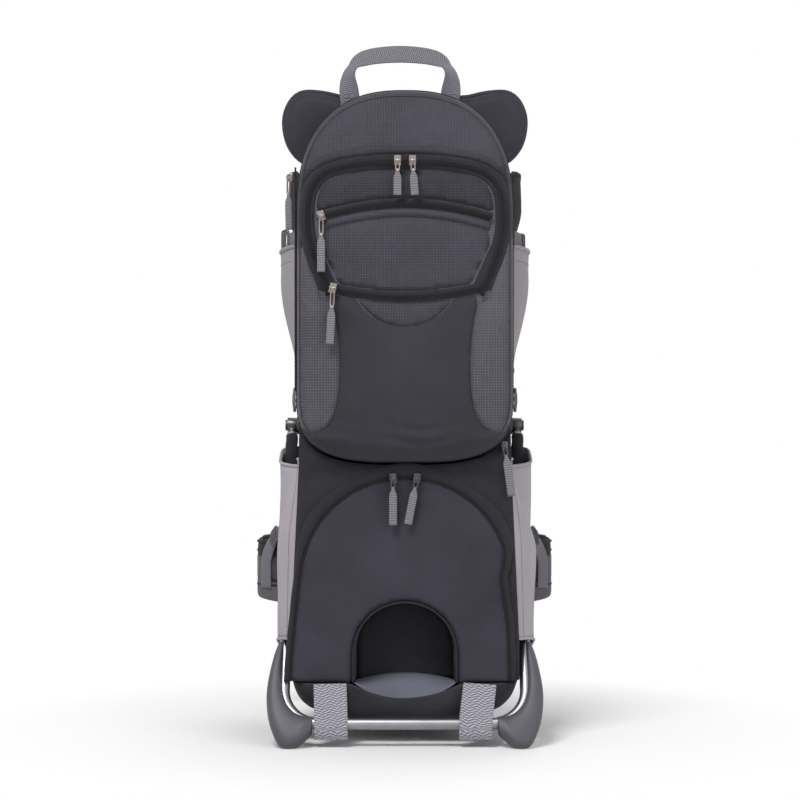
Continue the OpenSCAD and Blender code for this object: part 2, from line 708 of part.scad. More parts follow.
module upper_pocket() color(ripstop) {
    half = pack_half_w - 40;
    top = [for (i = [0:10]) let (x = mix(half, -half, i / 10))
        above(upper_zip_z - upper_zip_r - zip_w / 2 - 2, upper_zip_r, x)];
    bottom = [for (i = [0:10]) let (x = mix(-half + 20, half - 20, i / 10))
        [x, lower_zip_z + zip_w / 2 + 2 + lower_zip_r - sqrt(pow(lower_zip_r, 2) - x * x)]];
    front_pocket(concat(top, bottom), [0, 600], upper_pocket_t, upper_pocket_t, 500, 700);
}

module lower_pocket() color(black) {
    half = pack_half_w - 50;
    top = [for (i = [0:10]) let (x = mix(half, -half, i / 10))
        [x, lower_zip_z - zip_w / 2 - 2 + lower_zip_r - sqrt(pow(lower_zip_r, 2) - x * x)]];
    sides = [[-half + 8, 490], [-half + 6, 440], [-half + 2, 410], [-half - 4, 386]];
    bottom = [for (i = [0:8]) let (x = mix(-half, half, i / 8))
        [x, pack_bottom_z + 15 + 22 * pow(abs(x) / half, 2.4)]];
    right_side = [for (i = [3:-1:0]) [-sides[i][0], sides[i][1]]];
    front_pocket(concat(top, sides, bottom, right_side), [0, 440], lower_pocket_t, 6.6, 420, 476);
}

// Tapes of the main, upper and lower zips and of the zip on the left side
module daypack_zips() color(black) {
    y1 = pack_front_y - fit;
    w = pack_half_w;
    main = concat([[w - 32, 566], [w - 19, 596], [w - 13, 626], [w - 14, 652]],
        arc([w - 48, 660], 34, 10, 66, 6));
    top = [for (i = [0:12]) let (x = mix(w - 48, 48 - w, i / 12))
        above(main_zip_z - main_zip_r, main_zip_r, x)];
    rest = flipped([for (p = main) [-p[0], p[1]]]);
    plate(track_front_y, y1) polygon(band(concat(main, top, rest), zip_w));
    upper = [for (i = [0:16]) let (x = mix(w - 28, 28 - w, i / 16))
        above(upper_zip_z - upper_zip_r, upper_zip_r, x)];
    plate(track_front_y, y1) polygon(band(upper, zip_w));
    lower = [for (i = [0:16]) let (x = mix(w - 38, 38 - w, i / 16))
        [x, lower_zip_z + lower_zip_r - sqrt(pow(lower_zip_r, 2) - x * x)]];
    plate(track_front_y, y1) polygon(band(lower, zip_w));
    box([-w - fit - zip_t, pack_back_y - 32, 430], [-w - fit, pack_back_y - 22, side_slider_z + 12]);
}

module main_slider_right() color(metal) on_daypack(main_at[0], main_at[1]) slider_body(0);

module main_slider_left() color(metal) on_daypack(-main_at[0], main_at[1]) slider_body(0);

module main_pull_right() color(webbing) on_daypack(main_at[0], main_at[1]) pull(15, 27);

module main_pull_left() color(webbing) on_daypack(-main_at[0], main_at[1]) pull(15, 27);

module upper_slider() color(metal) on_daypack(-upper_at[0], upper_at[1]) slider_body(-18);

module upper_pull() color(webbing) on_daypack(-upper_at[0], upper_at[1]) pull(26, 42);

module lower_slider() color(metal) on_daypack(-lower_at[0], lower_at[1]) slider_body(13);

module lower_pull() color(webbing) on_daypack(-lower_at[0], lower_at[1]) pull(26, 42);

// Slider of the side zip with its puller
module side_slider() color(metal) translate([-pack_half_w - 2 * fit - zip_t, pack_back_y - 27, side_slider_z])
    rotate([0, 0, -90]) union() {
        slider_body(0);
        pull(24, 40);
        translate([-pull_w / 2, slider_pin_y, 0]) rotate([0, 90, 0])
            cylinder(r = eye_r, h = pull_w, $fn = 24);
    }

// Flat webbing loop at the top
module grab_handle() color(webbing) {
    line = curve([[62, 778], [70, 800], [72, 818], [64, 835], [42, 847], [0, 851.5], [-42, 847], [-64, 835],
        [-72, 818], [-70, 800], [-62, 778]], 3);
    plate(handle_back_y, handle_back_y + handle_t) polygon(band(line, handle_w));
}

// Wearer side
module back_panel() color(black) {
    b = back_in_y;
    f = back_face_y;
    outline = [for (q = oval(back_half_w, 258, 6, 36)) [q[0], 378 + q[1]]];
    cushion(outline, [0, 378], [[0.93, b], [0.99, mix(b, f, 0.2)], [1, mix(b, f, 0.45)],
        [0.97, mix(b, f, 0.75)], [0.9, mix(b, f, 0.93)], [0.78, f], [0.4, f]]);
}

module lumbar_pad() color(black) {
    b = back_face_y + fit;
    f = b + lumbar_t;
    outline = [for (q = oval(fin_pivot[0] - fin_t / 2 - 0.4, 54, 4, 28)) [q[0], fin_z + q[1]]];
    cushion(outline, [0, fin_z], [[0.95, b], [0.995, mix(b, f, 0.3)], [1, mix(b, f, 0.62)],
        [0.96, mix(b, f, 0.85)], [0.86, mix(b, f, 0.96)], [0.7, f], [0.35, f - 2]]);
}

// Webbing ladder for the torso length
module torso_ladder() color(webbing) {
    box([-19, ladder_y, 330], [19, ladder_y + 1.6, 604]);
    for (i = [0:8]) box([-19, ladder_y, 342 + i * 31], [19, ladder_y + ladder_t, 348 + i * 31]);
}

module shoulder_yoke() color(black)
    plate(yoke_in_y, yoke_face_y)
        polygon([for (q = oval(76, 38, 4, 32)) [q[0] * (1 - q[1] / 300), 524 + q[1]]]);

// S-shaped padded strap with its lower webbing
module shoulder_strap() {
    root_y = yoke_face_y + 1.1 + shoulder_t / 2;
    line = curve([[42, root_y, 500], [43, root_y, 545], [46, root_y + 10, 588], [53, 163, 610],
        [61, 184, 590], [68, shoulder_flat_y, 545], [74, shoulder_flat_y, 480], [78, shoulder_flat_y, 415],
        [82, 180, 362], [84, 166, 328]], 2);
    n = len(line) - 1;
    widths = [for (i = [0:n]) shoulder_w * (i == 0 ? 0.72 : i == n ? 0.6 : i > n - 3 ? 0.86 : 1)];
    thick = [for (i = [0:n]) shoulder_t * (i == 0 || i == n ? 0.6 : 1)];
    strap(line, [1, 0, 0], widths, thick, 3, 12);
    strap([[84, 167, 334], [86, 154, 306], [88, 142, 286]], [1, 0, 0], [25, 25, 25], [2.4, 2.4, 2.4], 8, 8);
}

module shoulder_strap_right() color(black) shoulder_strap();

module shoulder_strap_left() color(black) left() shoulder_strap();

// Chest strap with its buckle, clipped across both shoulder straps
module sternum_strap() color(plastic) {
    y = sternum_y;
    box([-92, y, 454], [92, y + 2, 474]);
    both() box([60, y, 449], [94, y + 5, 479]);
    plate(y + 0.5, y + 10) polygon([for (q = oval(27, 14, 4, 24)) [q[0], 464 + q[1]]]);
}

// Curved padded fin of the hip belt with its webbing
module hip_fin() {
    p = fin_pivot;
    steps = [[0, 0], [31, 13], [65, 28], [87, 46], [93, 66], [88, fin_webbing_y + 3 - p[1]]];
    line = curve([for (s = steps) [p[0] + s[0], p[1] + s[1], fin_z]], 3);
    n = len(line) - 1;
    high = [for (i = [0:n]) fin_h * mix(0.95, 0.68, pow(i / n, 1.6)) * (i == n ? 0.85 : 1)];
    thick = [for (i = [0:n]) fin_t * (i == n ? 0.6 : 1)];
    strap(line, [0, 0, 1], high, thick, 4, 16);
    translate([p[0], p[1], fin_z - 0.42 * fin_h]) cylinder(d = fin_t, h = 0.84 * fin_h);
    box([p[0] + 5, fin_webbing_y - fin_webbing_t / 2, fin_z - fin_webbing_w / 2],
        [p[0] + 89, fin_webbing_y + fin_webbing_t / 2, fin_z + fin_webbing_w / 2]);
}

module hip_fin_right() color(black) hip_fin();

module hip_fin_left() color(black) left() hip_fin();

// Both buckle halves ride on the belt webbing
module buckle_slot(x) box([x, fin_webbing_y - fin_webbing_t / 2 - 0.4, fin_z - fin_webbing_w / 2 - 0.4],
    [x + 70, fin_webbing_y + fin_webbing_t / 2 + 0.4, fin_z + fin_webbing_w / 2 + 0.4]);

module hip_buckle_right() color(plastic) difference() {
    x = fin_pivot[0];
    y = fin_webbing_y;
    union() {
        plate(y - 5, y + 6) polygon([for (q = oval(23, 25, 5, 28)) [x + 16 + q[0], fin_z + q[1]]]);
        for (s = [-15, 0, 15]) box([x - 39, y - 3, fin_z + s - 3], [x - 4, y + 3, fin_z + s + 3]);
    }
    buckle_slot(x);
    box([x + 5, y - 6, fin_z - 20], [x + 10, y, fin_z + 20]);
}

module hip_buckle_left() color(plastic) left() difference() {
    x = fin_pivot[0];
    y = fin_webbing_y;
    plate(y - 5, y + 6) polygon([for (q = oval(34, 25, 5, 28)) [x + 5 + q[0], fin_z + q[1]]]);
    buckle_slot(x + 3);
    box([x + 11, y - 6, fin_z - 20], [x + 16, y, fin_z + 20]);
    box([x - 31, y - 3.4, fin_z - 19], [x - 2, y + 3.4, fin_z + 19]);
}

main_frame();
cockpit_hoop();
frame_feet();
stand_brackets();
stand_pivot_pins();
kickstand_tube();
stand_foot_left();
stand_foot_right();
stand_strap_left();
stand_strap_right();
child_backrest();
head_wing_left();
head_wing_right();
side_panel_left();
side_panel_right();
side_pocket_left();
side_pocket_right();
compression_straps();
face_pad();
child_harness();
harness_buckle();
child_seat();
lower_compartment();
compartment_yoke();
compartment_flap();
compartment_zip();
compartment_floor();
base_panel();
gusset_left();
gusset_right();
compartment_slider_left();
compartment_slider_right();
compartment_pull_left();
compartment_pull_right();
attachment_pull();
daypack_body();
upper_pocket();
lower_pocket();
daypack_zips();
main_slider_left();
main_slider_right();
main_pull_left();
main_pull_right();
upper_slider();
upper_pull();
lower_slider();
lower_pull();
side_slider();
grab_handle();
back_panel();
lumbar_pad();
torso_ladder();
shoulder_yoke();
shoulder_strap_left();
shoulder_strap_right();
sternum_strap();
hip_fin_left();
hip_fin_right();
hip_buckle_left();
hip_buckle_right();
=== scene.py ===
import math

import bpy
import numpy as np
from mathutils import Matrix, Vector
from mathutils.bvhtree import BVHTree
from mathutils.geometry import delaunay_2d_cdt


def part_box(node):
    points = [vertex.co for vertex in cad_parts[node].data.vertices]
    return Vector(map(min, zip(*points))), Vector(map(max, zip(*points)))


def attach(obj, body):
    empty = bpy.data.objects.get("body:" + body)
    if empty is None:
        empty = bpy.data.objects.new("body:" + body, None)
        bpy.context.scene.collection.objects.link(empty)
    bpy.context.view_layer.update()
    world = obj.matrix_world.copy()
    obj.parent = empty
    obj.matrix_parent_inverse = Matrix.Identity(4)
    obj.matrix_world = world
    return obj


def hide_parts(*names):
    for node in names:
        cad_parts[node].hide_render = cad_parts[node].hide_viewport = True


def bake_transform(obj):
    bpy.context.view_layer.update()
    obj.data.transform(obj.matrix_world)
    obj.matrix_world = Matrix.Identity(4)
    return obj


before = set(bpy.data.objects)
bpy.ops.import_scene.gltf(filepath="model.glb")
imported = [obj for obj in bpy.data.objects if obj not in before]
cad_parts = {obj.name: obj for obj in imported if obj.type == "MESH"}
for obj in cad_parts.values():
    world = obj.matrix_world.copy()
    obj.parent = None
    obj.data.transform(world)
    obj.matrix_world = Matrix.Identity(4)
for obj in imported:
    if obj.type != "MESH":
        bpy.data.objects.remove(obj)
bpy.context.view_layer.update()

# Shapes are written in millimetres in the frame of the CAD model and turned into metres when a piece is made.
MM = 0.001
SCENE = bpy.context.scene

# The lower compartment's cloth passes from the carrier to the kickstand between these points, in metres
FOLD = ("carrier", "kickstand", (0, -0.160, 0.269), (0, -0.2536, 0.1442))
SIDES = (("left", -1), ("right", 1))
# A distance at which a pad's seams no longer press it in, in millimetres
FAR = 99


# Materials
class Shader:
    """A Principled material built from object coordinates, or from strap coordinates in millimetres."""

    def __init__(self, name, slot, rough, metallic=0.0, sheen=0.0, specular=0.3):
        self.material = bpy.data.materials.new(name)
        self.material.use_nodes = True
        self.material["slot"] = slot
        self.tree = self.material.node_tree
        self.bsdf = self.tree.nodes["Principled BSDF"]
        for socket, value in (
            ("Roughness", rough),
            ("Metallic", metallic),
            ("Sheen Weight", sheen),
            ("Sheen Roughness", 0.6),
            ("Specular IOR Level", specular),
        ):
            self.bsdf.inputs[socket].default_value = value
        place = self.tree.nodes.new("ShaderNodeTexCoord")
        self.object = place.outputs["Object"]
        self.axes = self.split(self.object)
        self.strap = self.split(place.outputs["UV"])
        self.facing = [self.math("ABSOLUTE", n) for n in self.split(place.outputs["Normal"])]

    def link(self, value, socket):
        if hasattr(value, "is_output"):
            self.tree.links.new(value, socket)
        elif isinstance(value, tuple):
            socket.default_value = (*value, 1)
        else:
            socket.default_value = value

    def split(self, vector):
        node = self.tree.nodes.new("ShaderNodeSeparateXYZ")
        self.link(vector, node.inputs[0])
        return [node.outputs[i] for i in range(3)]

    def math(self, operation, a, b=0.0):
        node = self.tree.nodes.new("ShaderNodeMath")
        node.operation = operation
        self.link(a, node.inputs[0])
        self.link(b, node.inputs[1])
        return node.outputs[0]

    def noise(self, scale, detail=3.0, rough=0.55, vector=None):
        node = self.tree.nodes.new("ShaderNodeTexNoise")
        self.link(vector or self.object, node.inputs["Vector"])
        node.inputs["Scale"].default_value = scale
        node.inputs["Detail"].default_value = detail
        node.inputs["Roughness"].default_value = rough
        return node.outputs["Fac"]

    def stretched(self, x, y, z):
        node = self.tree.nodes.new("ShaderNodeMapping")
        self.link(self.object, node.inputs["Vector"])
        node.inputs["Scale"].default_value = (x, y, z)
        return node.outputs[0]

    def ramp(self, value, low, high, to_low=0.0, to_high=1.0):
        node = self.tree.nodes.new("ShaderNodeMapRange")
        self.link(value, node.inputs["Value"])
        for name, number in zip(("From Min", "From Max", "To Min", "To Max"), (low, high, to_low, to_high)):
            node.inputs[name].default_value = number
        return node.outputs[0]

    def wave(self, value, pitch):
        """Triangle wave from 0 to 1 with the given period."""
        return self.math("DIVIDE", self.math("PINGPONG", value, pitch / 2), pitch / 2)

    def threads(self, pitch, sharp):
        """Lines along both directions of a cloth, whichever way it faces."""
        total = None
        for axis, facing in zip(self.axes, self.facing):
            line = self.math("POWER", self.wave(axis, pitch), sharp)
            line = self.math("MULTIPLY", line, self.math("SUBTRACT", 1.0, facing))
            total = line if total is None else self.math("MAXIMUM", total, line)
        return total

    def mix(self, factor, a, b):
        node = self.tree.nodes.new("ShaderNodeMix")
        node.data_type = "RGBA"
        self.link(factor, node.inputs["Factor"])
        self.link(a, node.inputs["A"])
        self.link(b, node.inputs["B"])
        return node.outputs["Result"]

    def colour(self, value):
        self.link(value, self.bsdf.inputs["Base Color"])

    def rough(self, value, low, high):
        self.link(self.ramp(value, 0.25, 0.75, low, high), self.bsdf.inputs["Roughness"])

    def bump(self, height, strength, distance_mm):
        node = self.tree.nodes.new("ShaderNodeBump")
        node.inputs["Strength"].default_value = strength
        node.inputs["Distance"].default_value = distance_mm * MM
        self.link(height, node.inputs["Height"])
        self.link(node.outputs[0], self.bsdf.inputs["Normal"])


def tone(colour, factor):
    return tuple(min(c * factor, 1.0) for c in colour)


def cloth(name, slot, colour, weave=1.1, grid=0.0, patch_and_highlight_strength=0.16, rough=0.85):
    """Woven cloth: fine threads, colour patches that are partly random tone and partly painted highlights of
    folds, faint creases, and ripstop lines grid millimetres apart.
    """
    s = Shader(name, slot, rough, sheen=0.06, specular=0.15)
    # Patches of random tone, which also serve as painted highlights that stand for light on folds.
    patches = s.ramp(s.noise(9.0), 0.3, 0.7)
    fibres = s.noise(900.0, 2.0)
    base = s.mix(patches, tone(colour, 1 - patch_and_highlight_strength), tone(colour, 1 + patch_and_highlight_strength))
    base = s.mix(s.ramp(fibres, 0.3, 0.75, 0.0, 0.35), base, tone(colour, 0.62))
    height = s.math("ADD", s.threads(weave * MM, 1.0), s.math("MULTIPLY", fibres, 0.6))
    crumple = s.noise(34.0, 3.0, 0.5, s.stretched(1, 1, 0.6))
    height = s.math("ADD", height, s.math("MULTIPLY", crumple, 7.0))
    if grid:
        worn = s.ramp(s.noise(130.0, 2.0), 0.25, 0.75, 0.35, 1.0)
        lines = s.math("MULTIPLY", s.threads(grid * MM, 7.0), worn)
        base = s.mix(s.math("MULTIPLY", lines, 0.95), base, tone(colour, 3.0))
        height = s.math("ADD", height, s.math("MULTIPLY", lines, 1.4))
    s.colour(base)
    s.rough(fibres, rough - 0.1, min(rough + 0.1, 0.97))
    s.bump(height, 0.5, 0.25)
    return s.material


def webbing(name, slot, colour, chevron, rib):
    """Herringbone webbing from strap coordinates: u across and v along, in millimetres."""
    s = Shader(name, slot, 0.7, sheen=0.2)
    across, along, _ = s.strap
    zigzag = s.math("ADD", along, s.math("MULTIPLY", s.math("PINGPONG", across, chevron), 0.4))
    rib_height = s.wave(zigzag, rib)
    floats = s.wave(s.math("ADD", across, along), 2 * rib)
    fine = s.wave(across, 0.9)
    fuzz = s.noise(700.0, 2.0)
    shown = s.math("MULTIPLY", rib_height, s.ramp(floats, 0.0, 1.0, 0.5, 1.2))
    base = s.mix(s.ramp(shown, 0.2, 0.7), tone(colour, 0.32), tone(colour, 1.55))
    base = s.mix(s.ramp(fuzz, 0.3, 0.8, 0.0, 0.4), base, tone(colour, 0.7))
    s.colour(base)
    s.rough(fuzz, 0.6, 0.85)
    s.bump(s.math("ADD", rib_height, s.math("MULTIPLY", fine, 0.25)), 0.55, 0.5)
    return s.material


def grosgrain(name, slot, colour, rib):
    """Ribbed tape for zip pulls and bindings."""
    s = Shader(name, slot, 0.75, sheen=0.06, specular=0.15)
    ribs = s.wave(s.strap[1], rib)
    fuzz = s.noise(800.0, 2.0)
    base = s.mix(s.ramp(ribs, 0.1, 0.8), tone(colour, 0.5), tone(colour, 1.2))
    s.colour(s.mix(s.ramp(fuzz, 0.3, 0.8, 0.0, 0.35), base, tone(colour, 0.6)))
    s.rough(fuzz, 0.62, 0.85)
    s.bump(ribs, 0.5, 0.35)
    return s.material


def air_mesh(name, slot, colour, cell=3.4):
    """Spacer mesh: small round pits, cell millimetres apart, painted darker as painted shade in the holes."""
    s = Shader(name, slot, 0.9, sheen=0.3)
    node = s.tree.nodes.new("ShaderNodeTexVoronoi")
    s.link(s.object, node.inputs["Vector"])
    node.inputs["Scale"].default_value = 1 / (cell * MM)
    node.inputs["Randomness"].default_value = 0.25
    pits = s.ramp(node.outputs["Distance"], 0.18, 0.45)
    fuzz = s.noise(600.0, 2.0)
    # The pits are painted darker: painted shade where the holes of the mesh lie.
    base = s.mix(pits, tone(colour, 0.35), tone(colour, 1.15))
    s.colour(s.mix(s.ramp(fuzz, 0.3, 0.8, 0.0, 0.3), base, tone(colour, 0.7)))
    s.rough(fuzz, 0.8, 0.97)
    s.bump(pits, 0.6, 0.6)
    return s.material


def metal(name, slot, colour, rough, drawn=(60, 60, 60), scratch=0.3):
    """Satin metal with fine drawing marks and a little tarnish."""
    s = Shader(name, slot, rough, metallic=1.0, specular=0.5)
    marks = s.noise(30.0, 4.0, 0.6, s.stretched(*drawn))
    tarnish = s.ramp(s.noise(14.0, 4.0), 0.35, 0.75)
    s.colour(s.mix(tarnish, colour, tone(colour, 0.78)))
    s.rough(marks, rough - 0.1, rough + 0.12)
    s.bump(marks, scratch, 0.08)
    return s.material


def moulded(name, slot, colour, rough, grain=0.25, specular=0.45):
    """Moulded plastic or rubber with a fine spark-eroded grain and rubbed patches."""
    s = Shader(name, slot, rough, specular=specular)
    texture = s.noise(1100.0, 3.0)
    rubbed = s.ramp(s.noise(22.0, 5.0), 0.45, 0.8)
    s.colour(s.mix(rubbed, colour, tone(colour, 1.35)))
    s.rough(texture, rough - 0.08, rough + 0.12)
    s.bump(texture, grain, 0.15)
    return s.material


def ripstop(name, colour):
    # Strong patches here: random tone and painted highlights of folds on the ripstop.
    return cloth(name, "ripstop", colour, grid=3.3, patch_and_highlight_strength=0.24, rough=0.75)


BLACK = cloth("black_cloth", "black_fabric", (0.026, 0.025, 0.031))
STRETCH = cloth("stretch_cloth", "black_fabric", (0.038, 0.037, 0.046), weave=0.8, patch_and_highlight_strength=0.2)
DEEP = cloth("lining_cloth", "black_fabric", (0.028, 0.026, 0.033))
RIPSTOP = ripstop("ripstop_cloth", (0.042, 0.040, 0.052))
DARK_RIPSTOP = ripstop("dark_ripstop_cloth", (0.029, 0.028, 0.035))
SIDE_RIPSTOP = ripstop("side_ripstop_cloth", (0.069, 0.067, 0.081))
SLATE = cloth("slate_cloth", "slate_fabric", (0.044, 0.041, 0.056), weave=0.9, patch_and_highlight_strength=0.22)
BLUE = cloth("floor_cloth", "ripstop", (0.165, 0.170, 0.220), weave=0.9)
LIGHT = cloth("light_grey_cloth", "light_grey_fabric", (0.42, 0.392, 0.424), weave=1.0, patch_and_highlight_strength=0.07)
POCKET = cloth("pocket_cloth", "light_grey_fabric", (0.325, 0.302, 0.325), weave=1.0, patch_and_highlight_strength=0.07)
PATCH = cloth("patch_cloth", "slate_fabric", (0.12, 0.115, 0.13))
MESH = air_mesh("air_mesh", "black_fabric", (0.045, 0.044, 0.051))
WEB = webbing("grey_webbing", "grey_webbing", (0.345, 0.336, 0.39), chevron=9.0, rib=3.3)
WEB_MID = webbing("mid_webbing", "grey_webbing", (0.155, 0.15, 0.178), chevron=8.0, rib=2.5)
BLACK_WEB = webbing("black_webbing", "black_fabric", (0.036, 0.035, 0.042), chevron=4.0, rib=2.4)
DARK_WEB = webbing("dark_webbing", "grey_webbing", (0.085, 0.083, 0.098), chevron=4.0, rib=2.4)
PULL_TAPE = grosgrain("pull_tape", "pull_webbing", (0.215, 0.206, 0.228), rib=2.8)
BINDING = grosgrain("binding_tape", "black_fabric", (0.027, 0.026, 0.032), rib=1.2)
ZIP_TAPE = grosgrain("zip_tape", "zip_tape", (0.020, 0.0195, 0.023), rib=1.0)
TEETH = moulded("zip_coil", "zip_tape", (0.018, 0.0175, 0.021), 0.6, specular=0.12)
THREAD = moulded("grey_thread", "grey_webbing", (0.25, 0.245, 0.27), 0.7)
ZIP_METAL = metal("nickel", "zip_metal", (0.31, 0.26, 0.245), 0.36)
TUBE = metal("satin_tube", "tube_aluminium", (0.34, 0.34, 0.36), 0.36, drawn=(2, 60, 60), scratch=0.15)
PLASTIC = moulded("dark_plastic", "dark_plastic", (0.070, 0.067, 0.082), 0.48)
BUCKLE = moulded("buckle_plastic", "dark_plastic", (0.13, 0.126, 0.142), 0.45)
DARK_METAL = metal("dark_nickel", "zip_metal", (0.10, 0.095, 0.098), 0.34)
RUBBER = moulded("rubber_foot", "rubber", (0.03, 0.03, 0.032), 0.75, 0.4)


# Lines and rings
def arr(points):
    return np.array(points, float)


def columns(*parts):
    """Points from their coordinates; one number stands for all the points."""
    return np.stack(np.broadcast_arrays(*(arr(p) for p in parts)), 1)


def curve(points, steps, closed=False):
    """Smooth line through the points."""
    p = arr(points)
    n = len(p)
    spans = n if closed else n - 1
    out = []
    for i in range(spans):
        near = [i - 1, i, i + 1, i + 2]
        a, b, c, d = (p[k % n] if closed else p[min(max(k, 0), n - 1)] for k in near)
        square, cube = 2 * a - 5 * b + 4 * c - d, 3 * b - a - 3 * c + d
        for t in np.arange(steps) / steps:
            out.append(0.5 * (2 * b + (c - a) * t + square * t**2 + cube * t**3))
    return arr(out if closed else out + [p[-1]])


def run_length(p):
    """Distance along a line up to each of its points."""
    return np.concatenate([[0], np.cumsum(np.linalg.norm(np.diff(p, axis=0), axis=1))])


def even(line, step, closed=False):
    """The same line with points about step apart."""
    p = arr(line)
    if closed:
        p = np.vstack([p, p[:1]])
    run = run_length(p)
    count = max(int(round(run[-1] / step)), 2)
    at = np.linspace(0, run[-1], count + 1)
    out = np.stack([np.interp(at, run, p[:, k]) for k in range(p.shape[1])], 1)
    return out[:-1] if closed else out


def arc(centre, radius, start, end, steps):
    """Arc in a plane, angles in degrees."""
    a = np.radians(np.linspace(start, end, steps + 1))
    return columns(centre[0] + radius * np.cos(a), centre[1] + radius * np.sin(a))


def oval(a, b, power, count):
    """Superellipse ring."""
    t = 2 * np.pi * (np.arange(count) + 0.5) / count
    c, s = np.cos(t), np.sin(t)
    return columns(a * np.sign(c) * abs(c) ** (2 / power), b * np.sign(s) * abs(s) ** (2 / power))


def even_oval(power, count):
    """Superellipse ring of radius 1 with points evenly spread along it."""
    ring = oval(1, 1, power, 720)
    return even(ring, run_length(np.vstack([ring, ring[:1]]))[-1] / count, closed=True)


def mirror(points):
    return arr(points) * (-1, 1)


def both_sides(right):
    """Closed outline from its right half, given from top to bottom."""
    return np.vstack([arr(right), mirror(right)[::-1]])


def directions(line, closed=False):
    p = arr(line)
    d = np.roll(p, -1, 0) - np.roll(p, 1, 0) if closed else np.gradient(p, axis=0)
    return d / np.maximum(np.linalg.norm(d, axis=1, keepdims=True), 1e-9)


def offset(line, distance):
    """A flat line moved to its left."""
    d = directions(line)
    return arr(line) + distance * columns(-d[:, 1], d[:, 0])


def on_plane(line, y):
    """A flat [x, z] line put at depth y."""
    p = arr(line)
    return columns(p[:, 0], y, p[:, 1])


def unit(vectors):
    v = arr(vectors)
    return v / np.maximum(np.linalg.norm(v, axis=-1, keepdims=True), 1e-9)


def smooth(t):
    t = np.clip(t, 0, 1)
    return t * t * (3 - 2 * t)


def ripple(u, v, size, seed=0.0):
    """Gentle uneven waves between about -1 and 1."""
    a = np.sin(u / size + 1.3 * np.sin(v / (1.7 * size) + seed) + seed)
    b = np.sin(v / (0.8 * size) + 1.1 * np.sin(u / (1.3 * size) + 2 * seed) + 0.7)
    return 0.5 * (a + b)


# Making pieces
TAPE_THICK, COIL_PITCH = 1.6, 1.7


def carry(obj, body, stands_for=()):
    """Puts a finished piece on its body, or bakes the placement of one that lies between two bodies, and
    hides the CAD node that it stands for.
    """
    if isinstance(body, tuple):
        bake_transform(obj)
    else:
        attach(obj, body)
    if stands_for:
        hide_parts(stands_for)
    return obj


def bare(name, points, faces, material, uv=None):
    """A mesh object that no body carries yet."""
    mesh = bpy.data.meshes.new(name)
    mesh.from_pydata((arr(points) * MM).tolist(), [], [tuple(int(i) for i in f) for f in faces])
    mesh.materials.append(material)
    mesh.polygons.foreach_set("use_smooth", [True] * len(mesh.polygons))
    if uv is not None:
        layer = mesh.uv_layers.new(name="strap")
        loops = np.zeros(len(mesh.loops), np.int32)
        mesh.loops.foreach_get("vertex_index", loops)
        layer.data.foreach_set("uv", arr(uv)[loops].astype(np.float32).ravel())
    mesh.update()
    obj = bpy.data.objects.new(name, mesh)
    SCENE.collection.objects.link(obj)
    return obj


def piece(name, points, faces, material, body, stands_for=(), uv=None):
    return carry(bare(name, points, faces, material, uv), body, stands_for)


def skin(rings, caps=True, loop=False):
    """Points and faces of a closed skin through rings with equal counts."""
    m, n = len(rings), len(rings[0])
    points = np.vstack(rings)
    faces = []
    for j in range(m if loop else m - 1):
        for i in range(n):
            k = (i + 1) % n
            a, b = j * n, ((j + 1) % m) * n
            faces.append((a + i, a + k, b + k, b + i))
    if caps and not loop:
        points = np.vstack([points, rings[0].mean(0), rings[-1].mean(0)])
        for i in range(n):
            k = (i + 1) % n
            faces.append((m * n, k, i))
            faces.append((m * n + 1, (m - 1) * n + i, (m - 1) * n + k))
    return points, outward(points, faces)


def outward(points, faces):
    """The faces turned so that a closed mesh encloses a positive volume."""
    p = arr(points)
    total = sum(p[f[0]] @ np.cross(p[f[i]], p[f[i + 1]]) for f in faces for i in range(1, len(f) - 1))
    return faces if total > 0 else [f[::-1] for f in faces]


def subdivide(obj):
    m = obj.modifiers.new("Smooth", "SUBSURF")
    m.levels = m.render_levels = 1


def thicken(obj, thickness):
    m = obj.modifiers.new("Thickness", "SOLIDIFY")
    m.thickness, m.offset = thickness * MM, -1
    return obj


def web_profile(width, thick, bulge=0.0):
    """Section of webbing with rounded edges; bulge crowns its middle."""
    w, t = width / 2, thick / 2
    top = [(-w + t, t), (-w / 3, t + bulge), (w / 3, t + bulge), (w - t, t)]
    edge = [(w - 0.3 * t, 0.7 * t), (w, 0), (w - 0.3 * t, -0.7 * t)]
    bottom = [(w - t, -t), (w / 3, -t), (-w / 3, -t), (-w + t, -t)]
    return arr(top + edge + bottom + [(-x, y) for x, y in edge][::-1])


def round_profile(radius, count=8):
    return oval(radius, radius, 2, count)


def frames(line, normal, closed=False):
    """Direction, side and up along a line; normal is one vector or one for each point."""
    d = directions(line, closed)
    up = np.broadcast_to(arr(normal), d.shape)
    side = unit(np.cross(d, up))
    return d, side, np.cross(side, d)


def sweep(name, line, profile, normal, material, body, stands_for=(), closed=False, widths=None):
    """A strap, tape or binding along a line; strap coordinates run across and along it."""
    p = arr(line)
    _, side, up = frames(p, normal, closed)
    scale = np.ones(len(p)) if widths is None else widths
    rings = []
    for at, k, x, y in zip(p, scale, side, up):
        rings.append(at + np.outer(profile[:, 0] * k, x) + np.outer(profile[:, 1], y))
    points, faces = skin(rings, loop=closed)
    run = run_length(p)
    uv = [(x, along) for along in run for x in profile[:, 0] + 100]
    if not closed:
        uv += [(100, 0), (100, run[-1])]
    piece(name, points, faces, material, body, stands_for, uv)


def inside(points, outline):
    """Which flat points are inside an outline."""
    x, y = points[:, 0:1], points[:, 1:2]
    a, b = outline, np.roll(outline, -1, 0)
    crosses = (a[:, 1] > y) != (b[:, 1] > y)
    rise = np.where(b[:, 1] == a[:, 1], 1e-9, b[:, 1] - a[:, 1])
    at = a[:, 0] + (y - a[:, 1]) * (b[:, 0] - a[:, 0]) / rise
    return (crosses & (x < at)).sum(1) % 2 == 1


